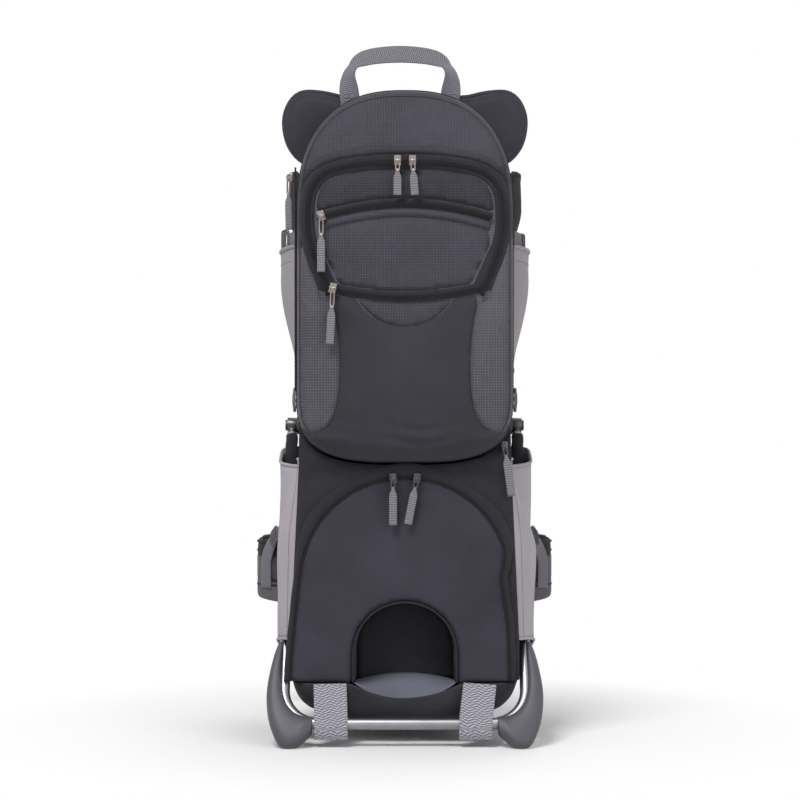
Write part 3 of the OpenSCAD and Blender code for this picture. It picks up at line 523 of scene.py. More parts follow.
def to_edge(points, outline):
    """Distance of flat points from an outline."""
    a, b = outline, np.roll(outline, -1, 0)
    d = b - a
    best = np.full(len(points), 1e9)
    for start, step in zip(a, d):
        t = np.clip(((points - start) @ step) / max(step @ step, 1e-9), 0, 1)
        best = np.minimum(best, np.linalg.norm(points - start - t[:, None] * step, axis=1))
    return best


def panel(name, outline, place, material, body, stands_for=(),
        puff=2.0, edge=6.0, step=6.0, thick=1.4, lift=None, held=""):
    """A sewn cloth panel: puff is its crown, edge how fast it rises from its seam.

    place(u, v, h) puts flat points at height h on what carries the panel; lift(u, v, d) adds folds,
    with d the distance from the seam. held is not used.
    """
    rim = even(outline, step, closed=True)
    low, high = rim.min(0), rim.max(0)
    u, v = np.meshgrid(np.arange(low[0], high[0], step), np.arange(low[1], high[1], step * 0.87))
    u = u + (np.arange(u.shape[0]) % 2)[:, None] * step / 2
    grid = columns(u.ravel(), v.ravel())
    grid = grid[inside(grid, rim)]
    grid = grid[to_edge(grid, rim) > 0.55 * step]
    flat = np.vstack([rim, grid])
    n = len(rim)
    loop = [(i, (i + 1) % n) for i in range(n)]
    made = delaunay_2d_cdt([Vector(q) for q in flat], loop, [], 0, 1e-4)
    flat = arr([tuple(q) for q in made[0]])
    faces = arr(made[2]).astype(int)
    faces = faces[inside(flat[faces].mean(1), rim)]
    d = to_edge(flat, rim)
    height = puff * (1 - np.exp(-d / edge))
    if lift is not None:
        height = height + lift(flat[:, 0], flat[:, 1], d)
    points = place(flat[:, 0], flat[:, 1], height)
    a, b, c = (points[faces[0][k]] for k in range(3))
    low_spot, high_spot = (place(flat[:1, 0], flat[:1, 1], arr([h]))[0] for h in (0, 1))
    if np.cross(b - a, c - a) @ (high_spot - low_spot) < 0:
        faces = faces[:, ::-1]
    obj = thicken(piece(name, points, faces.tolist(), material, body, stands_for), thick)


def creased(big, small, fade):
    """Folds for a panel: big and small are (height, size, seed), full from fade inside the seam."""

    def lift(u, v, d):
        return (big[0] * ripple(u, v, *big[1:]) + small[0] * ripple(v, u, *small[1:])) * smooth(d / fade)

    return lift


def scatter(name, shape, spots, material, body):
    """Copies of a small shape: each spot is a point, a direction along and a direction up."""
    base, base_faces = shape
    points, faces = [], []
    for at, along, up in spots:
        side = np.cross(up, along)
        faces += [tuple(i + len(points) for i in f) for f in base_faces]
        points += list(at + base @ arr([along, side, up]))
    piece(name, points, faces, material, body)


def grain(length, width, height):
    """A small bar with drawn-in ends, for stitches and zip teeth."""
    rings = []
    for x, k in ((-0.5, 0.6), (-0.3, 1), (0.3, 1), (0.5, 0.6)):
        ring = oval(width / 2 * k, height / 2 * k, 2.4, 6)
        rings.append(columns(x * length, ring[:, 0], ring[:, 1]))
    return skin(rings)


def stitches(name, lines, normal, body, pitch=4.0, size=0.8):
    """Rows of stitches along lines on a surface."""
    spots = []
    for line in lines:
        p = even(line, pitch)
        along, _, up = frames(p, normal)
        spots += zip(p, along, up)
    scatter(name, grain(0.68 * pitch, size, size), spots, THREAD, body)


def zipper(name, line, normal, width, body, stands_for=(), tooth=4.2):
    """Zip tape with a coil along its middle; tooth is the coil's width."""
    tape = web_profile(width, TAPE_THICK)
    sweep(name + "_tape", even(line, 4.0), tape, normal, ZIP_TAPE, body, stands_for)
    coil = even(line, COIL_PITCH)
    spots = []
    for i, (at, _, side, up) in enumerate(zip(coil, *frames(coil, normal))):
        spots.append((at + up * TAPE_THICK * 0.55 + side * (0.35 if i % 2 else -0.35), side, up))
    scatter(name + "_coil", grain(tooth, 0.62 * COIL_PITCH, 1.3), spots, TEETH, body)


# Padded cloth
AIR_PRESSURE, SWELL_FRAMES = 4.0, 16


def voxelled(points, faces, voxel):
    """An evenly meshed copy of a closed shape."""
    rough = bare("rough_shape", points, faces, BLACK)
    m = rough.modifiers.new("Remesh", "REMESH")
    m.mode, m.voxel_size = "VOXEL", voxel * MM
    dg = bpy.context.evaluated_depsgraph_get()
    mesh = bpy.data.meshes.new_from_object(rough.evaluated_get(dg))
    bpy.data.objects.remove(rough)
    return mesh


def coordinates(mesh):
    co = np.zeros(len(mesh.vertices) * 3)
    mesh.vertices.foreach_get("co", co)
    return co.reshape(-1, 3)


def swollen(mesh, cap):
    """The mesh's points after a short cloth simulation with air inside; none moves further than cap."""
    start = coordinates(mesh)
    obj = bpy.data.objects.new("simulated", mesh)
    SCENE.collection.objects.link(obj)
    m = obj.modifiers.new("Cloth", "CLOTH")
    c = m.settings
    c.quality, c.mass, c.time_scale = 4, 0.25, 1.0
    c.tension_stiffness = c.compression_stiffness = 12
    c.bending_stiffness = 0.6
    c.use_pressure, c.uniform_pressure_force = True, AIR_PRESSURE
    c.effector_weights.gravity = 0
    m.collision_settings.use_collision = False
    m.point_cache.frame_start, m.point_cache.frame_end = 1, SWELL_FRAMES
    for number in range(1, SWELL_FRAMES + 1):
        SCENE.frame_set(number)
    dg = bpy.context.evaluated_depsgraph_get()
    end = coordinates(obj.evaluated_get(dg).data)
    SCENE.frame_set(1)
    bpy.data.objects.remove(obj)
    move = end - start
    far = np.linalg.norm(move, axis=1, keepdims=True)
    return start + move * np.minimum(1, cap * MM / np.maximum(far, 1e-9))


def pad(name, rings, material, body, node, cap, voxel, shape=None, twin=None):
    """A stuffed piece: a closed skin, swollen by simulation, then pressed in along its seams by shape.

    shape(points) returns new points in millimetres. twin names the mirrored piece: (name, body, node).
    """
    mesh = voxelled(*skin([arr(r) for r in rings]), voxel)
    points = swollen(mesh, cap)
    if shape is not None:
        points = shape(points / MM) * MM
    faces = [tuple(f.vertices) for f in mesh.polygons]
    todo = [((name, body, node), 1, faces)]
    if twin:
        todo.append((twin, -1, [f[::-1] for f in faces]))
    for (label, carrier, stands_for), side, turned in todo:
        obj = piece(label, points * (side, 1, 1) / MM, turned, material, carrier, stands_for)
        subdivide(obj)


def groove(points, distance, depth, width, axis, sign):
    """Presses points in along an axis near a seam; distance is each point's distance from it."""
    out = points.copy()
    out[:, axis] -= sign * depth * np.exp(-(distance / width) ** 2)
    return out


def cushion_rings(outline, centre, levels, back=0, front=1):
    """Rings of a cushion seen along Y: levels are (scale, share of the way to the front), or (scale, y)."""
    c = arr(centre)
    return [on_plane(c + (outline - c) * k, back + (front - back) * d) for k, d in levels]


# Stage
FLOOR_RADIUS = 12000


def stage():
    camera = bpy.data.cameras.new("camera")
    camera.lens, camera.sensor_width = 105, 36
    eye = bpy.data.objects.new("camera", camera)
    eye.location = (-0.006, -3.0, 0.418)
    eye.rotation_euler = (math.radians(90), 0, 0)
    SCENE.collection.objects.link(eye)
    SCENE.camera = eye
    SCENE.view_settings.view_transform = "Standard"

    world = bpy.data.worlds.new("studio")
    world.use_nodes = True
    SCENE.world = world
    nodes, links = world.node_tree.nodes, world.node_tree.links
    path = nodes.new("ShaderNodeLightPath")
    seen = nodes.new("ShaderNodeMath")
    seen.operation = "MAXIMUM"
    links.new(path.outputs["Is Camera Ray"], seen.inputs[0])
    links.new(path.outputs["Is Glossy Ray"], seen.inputs[1])
    strength = nodes.new("ShaderNodeMapRange")
    strength.inputs["To Min"].default_value = 0.32
    links.new(seen.outputs[0], strength.inputs["Value"])
    background = nodes["Background"]
    background.inputs["Color"].default_value = (1, 1, 1, 1)
    links.new(strength.outputs[0], background.inputs["Strength"])

    for name, place, size, power in (
        ("key", (-0.75, -1.7, 2.7), 0.9, 56),
        ("fill", (1.7, -2.0, 1.2), 1.8, 17),
        ("back", (0.6, 2.2, 1.9), 1.6, 24),
    ):
        lamp = bpy.data.lights.new(name, "AREA")
        lamp.size, lamp.energy = size, power
        obj = bpy.data.objects.new(name, lamp)
        obj.location = place
        obj.rotation_euler = (Vector((0, 0, 0.42)) - Vector(place)).to_track_quat("-Z", "Y").to_euler()
        SCENE.collection.objects.link(obj)

    s = Shader("pale_floor", "", 0.9)
    del s.material["slot"]
    s.colour(s.mix(s.noise(40.0), (0.93, 0.93, 0.935), (0.96, 0.96, 0.96)))
    squares = [s.math("POWER", s.axes[k], 2.0) for k in (0, 1)]
    radius = s.math("POWER", s.math("ADD", *squares), 0.5)
    glow = s.tree.nodes.new("ShaderNodeEmission")
    both = s.tree.nodes.new("ShaderNodeMixShader")
    s.link(s.ramp(radius, 0.2, 0.55), both.inputs[0])
    s.link(s.bsdf.outputs[0], both.inputs[1])
    s.link(glow.outputs[0], both.inputs[2])
    s.link(both.outputs[0], s.tree.nodes["Material Output"].inputs["Surface"])
    rim = arc((0, 0), FLOOR_RADIUS, 0, 357.5, 143)
    floor = bare("floor", columns(*rim.T, -0.4), [tuple(range(len(rim)))], s.material)


# CAD nodes
WELD_SIZE, SLIDER_EDGE, OTHER_EDGE = 0.02, 0.5, 1.2
DARK_ARM_FROM = 366


def dress_cad():
    """Materials and softened edges for the CAD nodes that stay in view."""
    finish = {
        TUBE: ["main_frame", "cockpit_hoop", "kickstand_tube"],
        RUBBER: ["frame_feet"],
        PLASTIC: ["stand_brackets"],
        BUCKLE: ["harness_buckle", "hip_buckle_left", "hip_buckle_right"],
        ZIP_METAL: ["main_slider_left", "main_slider_right", "upper_slider", "lower_slider"],
        DARK_METAL: ["compartment_slider_left", "compartment_slider_right", "stand_pivot_pins"],
    }
    for material, names in finish.items():
        for name in names:
            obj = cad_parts[name]
            obj.data.materials.clear()
            obj.data.materials.append(material)
            obj.data.polygons.foreach_set("use_smooth", [True] * len(obj.data.polygons))
            weld = obj.modifiers.new("Weld", "WELD")
            weld.merge_threshold = WELD_SIZE * MM
            bevel = obj.modifiers.new("Edges", "BEVEL")
            bevel.width = (SLIDER_EDGE if "slider" in name else OTHER_EDGE) * MM
            bevel.segments, bevel.limit_method, bevel.angle_limit = 3, "ANGLE", math.radians(38)
            bevel.harden_normals = True
            obj.data.set_sharp_from_angle(angle=math.radians(50))
    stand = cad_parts["kickstand_tube"].data
    stand.materials.append(DARK_METAL)
    for face in stand.polygons:
        face.material_index = 1 if face.center.z > DARK_ARM_FROM * MM else 0


def box_mm(node):
    low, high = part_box(node)
    return arr(low) / MM, arr(high) / MM


def middle(node):
    """Middle of a CAD node's box."""
    low, high = box_mm(node)
    return (low + high) / 2


# Daypack
PACK_LOW, PACK_HIGH = box_mm("daypack_body")
PACK_HALF, PACK_BACK, PACK_FRONT = PACK_HIGH[0], PACK_HIGH[1], PACK_LOW[1]
PACK_ROUND, PACK_TURN, PACK_TAPER, PACK_MIDDLE = 640, 430, 716, 560
# Heights at the sides: the dark bottom ends, the cheeks end and the black gores begin, the dark top begins
SIDE_LOW, SIDE_GORE, SIDE_TOP = 382, 604, 698
MAIN_ZIP_TOP, MAIN_ZIP_R = 707, 700
UPPER_ZIP_TOP, UPPER_ZIP_R = 656, 327
LOWER_ZIP_LOW, LOWER_ZIP_R = 543, 389
BOWL = (0, 572.7)
ZIP_Y = box_mm("daypack_zips")[0][1] + 0.9


def rounded_end(half, turn, end, power, count):
    """Points over a rounded end as [x, z]: from half to -half, with its foot at turn and its crown at end."""
    t = np.radians(np.linspace(0, 180, count + 1))
    c, s = np.cos(t), np.sin(t)
    return columns(half * np.sign(c) * abs(c) ** power, turn + (end - turn) * s**power)


def pack_outline():
    """Daypack outline as [x, z], from the right side over the top and round the bottom."""
    sides = np.linspace(PACK_ROUND, PACK_TURN, 18)[1:-1]
    return np.vstack([
        rounded_end(PACK_HALF, PACK_ROUND, PACK_HIGH[2], 0.8, 56),
        columns(-PACK_HALF, sides),
        rounded_end(-PACK_HALF, PACK_TURN, PACK_LOW[2], 0.62, 56),
        columns(PACK_HALF, sides[::-1]),
    ])


def pack_side(low, high, scale):
    """Right side of the daypack's outline between two heights, from low to high, drawn in by scale."""
    p = pack_outline()
    p = p[(p[:, 0] > 0) & (p[:, 1] > low) & (p[:, 1] < high)]
    return p[np.argsort(p[:, 1])] * (scale, 1)


def shell_ring(outline, scale, depth):
    x, z = outline[:, 0] * scale, PACK_MIDDLE + (outline[:, 1] - PACK_MIDDLE) * scale
    deep = PACK_BACK - PACK_FRONT - 1.6 - 0.42 * np.maximum(z - PACK_TAPER, 0)
    return columns(x, PACK_BACK - depth * deep, z)


SHELL_LEVELS = [
    (0.6, 0), (0.95, 0), (0.985, 0.02), (1, 0.12), (1.0, 0.5), (0.993, 0.7), (0.98, 0.83),
    (0.96, 0.92), (0.93, 0.97), (0.89, 0.995), (0.84, 1), (0.7, 1), (0.5, 1), (0.3, 1),
]
SHELL = skin([shell_ring(pack_outline(), k, d) for k, d in SHELL_LEVELS])
SHELL_TREE = BVHTree.FromPolygons([Vector(p) for p in SHELL[0]], SHELL[1])


def on_shell(u, v, h):
    """Points that stand h off the daypack's front cloth."""
    front = []
    for x, z in zip(u, v):
        hit = SHELL_TREE.ray_cast(Vector((x, -400, z)), Vector((0, 1, 0)))[0]
        front.append(hit.y if hit else PACK_BACK - 20)
    return columns(u, arr(front) - 0.5 - h, v)


def pack_panel(name, outline, material, stands_for=(), **look):
    panel(name, outline, on_shell, material, "daypack", stands_for, **look)


def upper_arc(x, r):
    """Points on an arc about the centre of the upper zip."""
    return columns(x, UPPER_ZIP_TOP - UPPER_ZIP_R + np.sqrt(r**2 - x**2))


def lower_arc(x, rise):
    """Points on the lower zip's arc, raised by rise."""
    return columns(x, LOWER_ZIP_LOW + LOWER_ZIP_R + rise - np.sqrt(LOWER_ZIP_R**2 - x**2))


def strip(line, half):
    """Closed outline of a band along a flat line."""
    return np.vstack([offset(line, half), offset(line, -half)[::-1]])


def main_zip_line():
    turn = [
        (93, 544), (100, 566), (112, 596), (118.5, 626), (118.5, 652),
        (114, 674), (102, 690), (84, 698.5), (60, 703.5),
    ]
    x = np.linspace(40, 0, 8)
    top = columns(x, MAIN_ZIP_TOP - MAIN_ZIP_R + np.sqrt(MAIN_ZIP_R**2 - x**2))
    half = even(curve(np.vstack([turn, top[::3]]), 8), 5)
    return np.vstack([half, mirror(half)[::-1][1:]])


def pocket_zip(name, line, half):
    """A pocket's zip: a black band on the front cloth, then the tape with its coil."""
    pack_panel(name + "_band", strip(line, half), BLACK, puff=0.9, edge=1.6, step=3.5)
    zipper(name, on_plane(line, ZIP_Y), (0, -1, 0), 4.6, "daypack", tooth=2.8)


def pack_shell():
    shell = piece("daypack_shell", *SHELL, RIPSTOP, "daypack", "daypack_body")
    shell.data.materials.append(SIDE_RIPSTOP)
    shell.data.materials.append(BLACK)
    outline = pack_outline()
    for face in shell.data.polygons:
        ring, spot = divmod(face.index, len(outline))
        z = outline[spot, 1]
        if ring >= len(SHELL_LEVELS) - 1 or z > SIDE_TOP:
            continue
        face.material_index = 2 if z < SIDE_LOW or (z > SIDE_GORE and ring < 8) else 1
    subdivide(shell)


def pack_top(line):
    """Main zip with its black gores and hood, and the dark cloth inside its arc."""
    band = strip(line, 9.5)
    band[:, 1] = np.maximum(band[:, 1], lower_arc(band[:, 0], -6.4)[:, 1])
    pack_panel("main_zip_band", band, BLACK, puff=0.9, edge=1.6, step=4)
    seam = offset(line, -9.8)
    seam = seam[(seam[:, 0] > 108) & (seam[:, 1] > 606)]
    gore = np.vstack([pack_side(SIDE_GORE, 700, 0.982), seam[::-1]])
    for name, side in SIDES:
        pack_panel("main_zip_gore_" + name, gore * (side, 1), BLACK, puff=0.6, edge=2, step=4)
    zipper("main_zip", on_plane(even(line, 4), ZIP_Y), (0, -1, 0), 5.5, "daypack", "daypack_zips", tooth=3.0)
    hood = offset(line, -13.2)
    hood = hood[hood[:, 1] > 694]
    pack_panel("main_zip_hood", strip(hood, 5.0), DARK_RIPSTOP, puff=3.6, edge=2.6, step=3.5)
    inner = offset(line, 11.5)
    inner = inner[inner[:, 1] > upper_arc(inner[:, 0], UPPER_ZIP_R + 6.5)[:, 1] + 2]
    low = upper_arc(np.linspace(inner[-1, 0], inner[0, 0], 40), UPPER_ZIP_R + 6.5)
    front = np.vstack([inner, low[1:-1]])
    folds = creased((0.9, 26, 0), (0.5, 11, 1), 16)
    pack_panel("upper_front_panel", front, DARK_RIPSTOP, puff=2.6, edge=8, lift=folds)


def pack_upper_pocket():
    x = np.linspace(105, -105, 44)
    pocket_zip("upper_zip", upper_arc(x, UPPER_ZIP_R), 5.2)
    flap = strip(upper_arc(x * 0.985, UPPER_ZIP_R - 11.2), 5.2)
    pack_panel("upper_zip_flap", flap, RIPSTOP, puff=4.2, edge=2.6, step=3.5)
    top = upper_arc(np.linspace(0, 101, 20), UPPER_ZIP_R - 17.2)
    front = both_sides(np.vstack([top, [(102.5, 606)], lower_arc(np.linspace(80, 0, 16), 7.5)]))
    folds = creased((1.6, 34, 1), (0.7, 14, 2), 25)
    pack_panel("upper_pocket_front", front, RIPSTOP, "upper_pocket", puff=4.5, edge=16, lift=folds)
    gore = arr([(104.5, 606), (82, 556), (86, 550), (93, 566), (103, 592)])
    for name, side in SIDES:
        pack_panel("upper_pocket_gore_" + name, gore * (side, 1), BLACK, puff=1.8, edge=4, step=3.5)


def pack_lower_pocket(line):
    """Lower zip, the crescent under it, the cheeks at the sides and the stretch pocket."""
    pocket_zip("lower_zip", lower_arc(np.linspace(95, -95, 40), 0), 6.4)
    crescent = np.vstack([lower_arc(np.linspace(0, 57, 16), -7.6), arc(BOWL, 65.7, -30, -90, 16)])
    pack_panel("lower_pocket_crescent", both_sides(crescent), RIPSTOP, puff=3.2, edge=9, step=4.5)

    side = curve([
        (87.5, 534), (83, 512), (79.5, 482), (78.5, 450), (80, 424),
        (84.5, 402), (92, 387), (103, 380), (121, 378),
    ], 6)
    seam = offset(line, -9.0)
    seam = seam[(seam[:, 0] > 0) & (seam[:, 1] < SIDE_GORE)]
    cheek = np.vstack([pack_side(380, SIDE_GORE, 0.968), seam[::-1], side + (0.5, 0)])
    folds = creased((1.1, 30, 0.7), (0.5, 12, 1.9), 16)
    for name, way in SIDES:
        label = "daypack_cheek_" + name
        pack_panel(label, cheek * (way, 1), SIDE_RIPSTOP, puff=1.6, edge=5, step=5, lift=folds)

    edge = pack_outline()
    edge = edge[(edge[:, 0] >= 0) & (edge[:, 1] < 376) & (edge[:, 0] < 121)] + (0, 2.5)
    edge = edge[np.argsort(-edge[:, 0])]
    hem = arc(BOWL, 67.4, -90, -29.5, 16)
    front = both_sides(np.vstack([hem, lower_arc(np.linspace(60, 86, 8), -7.6), side, edge]))

    def sag(u, v, d):
        crown = 6.6 + (14.0 - 6.6) * smooth((476 - v) / 70)
        rows = np.sin((v - 372 - u**2 / 620) / 2.7 + 1.1 * np.sin(u / 27) + 0.5 * np.sin(u / 11))
        fold = (1.5 + 0.9 * np.sin(u / 19 + 0.8)) * rows * np.exp(-((v - 374) / 22) ** 2)
        creases = 2.0 * ripple(u + 0.5 * v, v, 34, 2.0) + 0.9 * ripple(u, v + u, 13, 0.6)
        return crown * (1 - np.exp(-(d / 17) ** 1.5)) + fold * smooth(d / 12) + creases * smooth(d / 25)

    pack_panel("lower_pocket_front", front, STRETCH, "lower_pocket", puff=1.2, edge=3, step=4, lift=sag)


def pack_edges():
    """Piping, the zip that joins the daypack to the carrier, and the side zip."""
    outline = even(pack_outline(), 8, closed=True)
    ring = shell_ring(outline, 0.966, 0.905)
    sweep("daypack_piping", ring, round_profile(1.2), (0, -1, 0), RIPSTOP, "daypack", closed=True)
    zipped = shell_ring(outline, 1.0, 0.16)
    out = columns(zipped[:, 0], 0, zipped[:, 2] - PACK_MIDDLE)
    normals = np.cross(directions(zipped, True), arr([0, 1, 0]))
    normals = np.where((normals * out).sum(1, keepdims=True) > 0, normals, -normals)
    tape = zipped + normals * 0.6
    sweep("attachment_tape", tape, web_profile(12, 1.6), normals, ZIP_TAPE, "daypack", closed=True)
    teeth = even(zipped + normals * 1.5, 1.8, closed=True)
    spots = [(p, arr([0, 1, 0]), unit(arr([p[0], 0, p[2] - PACK_MIDDLE]))) for p in teeth]
    scatter("attachment_coil", grain(4.4, 1.1, 1.4), spots, TEETH, "daypack")
    side = columns(-PACK_HALF - 1.7, middle("side_slider")[1], np.linspace(430, 702, 60))
    zipper("side_zip", side, (-1, 0, 0), 10, "daypack")


def daypack():
    line = main_zip_line()
    pack_shell()
    pack_top(line)
    pack_upper_pocket()
    pack_lower_pocket(line)
    pack_edges()


def zip_pull(name, body, at, metal_len, cloth_len, outward, stands_for=(), material=ZIP_METAL, lean=0):
    """Stamped puller with a slot and a cloth tab; at is the middle of its pin, lean its slant in degrees."""
    out = arr(outward)
    level = np.cross(out, arr([0, 0, 1]))
    up = math.cos(math.radians(lean)) * arr([0, 0, 1]) + math.sin(math.radians(lean)) * level
    across = np.cross(out, up)
    ring = oval(2.9, metal_len / 2 + 0.6, 3.2, 28)
    hole = oval(1.5, metal_len / 2 - 3.4, 2.6, 28)
    ring[:, 0] *= 1 + 0.14 * (-ring[:, 1] / metal_len)
    centre = at - up * (metal_len / 2 - 1.0)

    def loop(points, h):
        return centre + np.outer(points[:, 0], across) + np.outer(points[:, 1], up) + h * out

    rings = [loop(ring * k, h) for k, h in ((0.97, 0.8), (1, 0.5), (1, -0.5), (0.97, -0.8))]
    rings += [loop(hole, -0.8), loop(hole, 0.8)]
    piece(name + "_metal", *skin(rings, loop=True), material, body, stands_for)
    top = at - up * (metal_len - 3.0)
    drop = np.concatenate([[0, 1.5, 4, 7], np.linspace(10, cloth_len + 3, 12)])
    line = arr([top - up * k + out * 0.5 * math.sin(k / 9) for k in drop])
    widths = np.interp(drop, [0, 3, 8], [0.34, 0.5, 1.0])
    sweep(name + "_cloth", line, web_profile(9.6, 2.2), out, PULL_TAPE, body, widths=widths)
    bars = [line[5] + across * k for k in (-3.2, 3.2)]
    end = [line[-2] + across * k for k in (-4.0, 4.0)]
    stitches(name + "_stitch", [arr(b) + out * 1.2 for b in (bars, end)], out, body, pitch=1.6, size=0.6)


def slider_shape(name, at, outward, material, body, stands_for=()):
    """Zip slider with a bridge for its pull; at is the middle of its base."""
    out, up = arr(outward), arr([0, 0, 1])
    across = np.cross(out, up)
    flat = oval(4, 6.4, 3, 24)
    flat[:, 0] *= 1 + 0.16 * flat[:, 1] / 6.4
    rings = []
    for h, k in ((0, 0.5), (0, 0.92), (0.6, 1), (2.8, 1), (3.6, 0.88), (3.6, 0.5)):
        rings.append(at + np.outer(flat[:, 0] * k, across) + np.outer(flat[:, 1] * k, up) + h * out)
    piece(name + "_body", *skin(rings), material, body, stands_for)
    arch = curve([at + h * out + z * up for z, h in ((4, 3), (3.2, 6.0), (0, 7.2), (-3.2, 6.0), (-4, 3))], 5)
    sweep(name + "_bridge", arch, web_profile(2.6, 1.0), across, material, body)


def pin_of(node):
    """Middle of the pin that a hanging pull swings on."""
    return arr([*middle(node)[:2], box_mm(node)[1][2] - 2])


def pulls():
    # Lengths of the metal and of the cloth tab, and the slant in degrees
    hanging = {
        "main_pull_left": (15, 27, 0),
        "main_pull_right": (15, 27, 4),
        "upper_pull": (26, 42, 0),
        "lower_pull": (26, 42, -3),
        "compartment_pull_left": (15, 42, 0),
        "compartment_pull_right": (15, 42, -11),
        "attachment_pull": (15, 46, 8),
    }
    for node, (metal_len, cloth_len, lean) in hanging.items():
        material = DARK_METAL if node.startswith(("compartment", "attachment")) else ZIP_METAL
        zip_pull(node, node, pin_of(node), metal_len, cloth_len, (0, -1, 0), node, material, lean)
    x, _, z = pin_of("attachment_pull")
    slider_shape("attachment_slider", arr([x, FLAP_FRONT - 0.4, z]), (0, -1, 0), DARK_METAL, "carrier")
    x, y, z = box_mm("side_slider")[0][0], middle("side_slider")[1], 690
    pin = arr([x + 2.4, y, z]) - arr([0.6, 1.2, 0])
    zip_pull("side_pull", "side_slider", pin, 24, 40, unit([-0.5, -0.86, 0]))
    slider_shape("side_slider", arr([x + 7.0, y, z]), (-1, 0, 0), ZIP_METAL, "side_slider", "side_slider")


# Lower compartment
FLAP_FRONT = box_mm("compartment_flap")[0][1]
COMPARTMENT_LOW, COMPARTMENT_HIGH = box_mm("lower_compartment")
LOWER_HALF, LOWER_BOTTOM, LOWER_TOP = COMPARTMENT_HIGH[0], COMPARTMENT_LOW[2], COMPARTMENT_HIGH[2]
LOWER_FRONT, LOWER_BACK = COMPARTMENT_LOW[1], COMPARTMENT_HIGH[1]
LOWER_TOP_HALF = 128
ARCH_R, ARCH_Z = LOWER_HALF - 5, LOWER_TOP - 5 - (LOWER_HALF - 5)
RECESS_HALF, RECESS_TOP, RECESS_DEEP = 63, 172, 55


def arch_line(r):
    """Arch from its left foot to its right foot, drawn in at the right where the cloth folds."""
    foot = curve([(-r - 12, LOWER_BOTTOM + 2), (-r - 10, 110), (-r - 6, 150), (-r - 0.5, ARCH_Z + 6)], 6)
    left = np.vstack([foot, arc((0, ARCH_Z), r, 174, 90, 26)])
    right = arc((0, ARCH_Z), r, 90, 18, 24)[1:]
    fold = [right[-1], (r - 7, 216), (r - 10, 202), (r - 7, 176), (r - 2, 140), (r, LOWER_BOTTOM + 2)]
    return np.vstack([left, right, curve(fold, 6)[1:]])


def recess_line(w):
    bow = arc((0, RECESS_TOP - RECESS_HALF), w, 0, 180, 30)
    return np.vstack([[(w, LOWER_BOTTOM)], bow, [(-w, LOWER_BOTTOM)]])


def upright(y):
    """Place function of a panel that stands at depth y and swells to the front."""
    return lambda u, v, h: columns(u, y - h, v)


def sheet_grid(name, rows, material, body, stands_for=(), thick=1.6, toward=(0, 0, 0)):
    """A sheet of cloth through a grid of points, thickened on the side that faces toward."""
    grid = arr(rows)
    m, n = grid.shape[:2]
    corners = [j * n + i for j in range(m - 1) for i in range(n - 1)]
    faces = [(k, k + 1, k + n + 1, k + n) for k in corners]
    a, b, c = grid[m // 2, n // 2], grid[m // 2, n // 2 + 1], grid[m // 2 + 1, n // 2]
    if np.cross(b - a, c - a) @ (arr(toward) - a) > 0:
        faces = [f[::-1] for f in faces]
    obj = thicken(piece(name, grid.reshape(-1, 3), faces, material, body, stands_for), thick)


def flap_and_yoke():
    """Slate flap, the black yoke round it, the zip between them and the rolled lip of the arch."""
    place = upright(LOWER_FRONT - 0.4)
    flap = np.vstack([even(arch_line(ARCH_R - 3.6), 5), recess_line(RECESS_HALF + 1.5)])

    def slack(u, v, d):
        tug = 2.0 * np.sin(u / 13 + v / 24 + 0.8 * np.sin(v / 30)) * smooth((150 - v) / 60)
        drawn = 2.6 * np.sin((u - 0.9 * v) / 14) * np.exp(-((u - 95) / 30) ** 2 - ((v - 195) / 50) ** 2)
        hanging = 1.5 * np.sin(u / 15 + 0.9 * np.sin(v / 44)) * smooth((v - 190) / 60)
        creases = 2.2 * ripple(u, v, 40, 0.4) + 0.8 * ripple(u, v, 15, 2.2)
        return (creases + tug + drawn + hanging) * smooth(d / 22)

    panel("compartment_flap_cloth", flap, place, SLATE, FOLD, "compartment_flap",
        puff=2.6, edge=9, lift=slack, held="hung")

    def wrinkled(u, v, d):
        return (1.8 * ripple(u, v, 20, 3.0) + 2.8 * np.sin((v + 0.6 * abs(u)) / 8.0)) * smooth(d / 14)

    top = pack_outline()
    top = top[top[:, 1] < 394]
    top = top[np.argsort(top[:, 0])] * (1.012, 1) - (0, 2.0)
    x = LOWER_HALF
    corner = arr([(x - 7.4, 394), (x - 6.4, LOWER_TOP), (x + 3.4, 120), (x + 3.4, LOWER_BOTTOM + 2)])
    yoke = np.vstack([even(arch_line(ARCH_R + 1.0), 5), corner[::-1], top[::-1], mirror(corner)])
    panel("compartment_yoke_cloth", yoke, place, BLACK, FOLD, "compartment_yoke",
        puff=2.2, edge=5, lift=wrinkled)
    line = on_plane(even(arch_line(ARCH_R - 1.3), 3), LOWER_FRONT - 1.4)
    zipper("compartment_zip", line, (0, -1, 0), 7.5, FOLD, "compartment_zip", tooth=3.8)
    lip = even(arch_line(ARCH_R - 2), 4)
    half = (3.2 + 4.6 * smooth((lip[:, 1] - 215) / 60)) * (1 + 0.06 * ripple(lip[:, 0], lip[:, 1], 9))
    roll = on_plane(lip + (offset(lip, 1) - lip) * half[:, None], LOWER_FRONT - 1.6)
    sweep("arch_roll", roll, oval(1, 4.6, 2, 18), (0, -1, 0), BLACK, FOLD, widths=half)


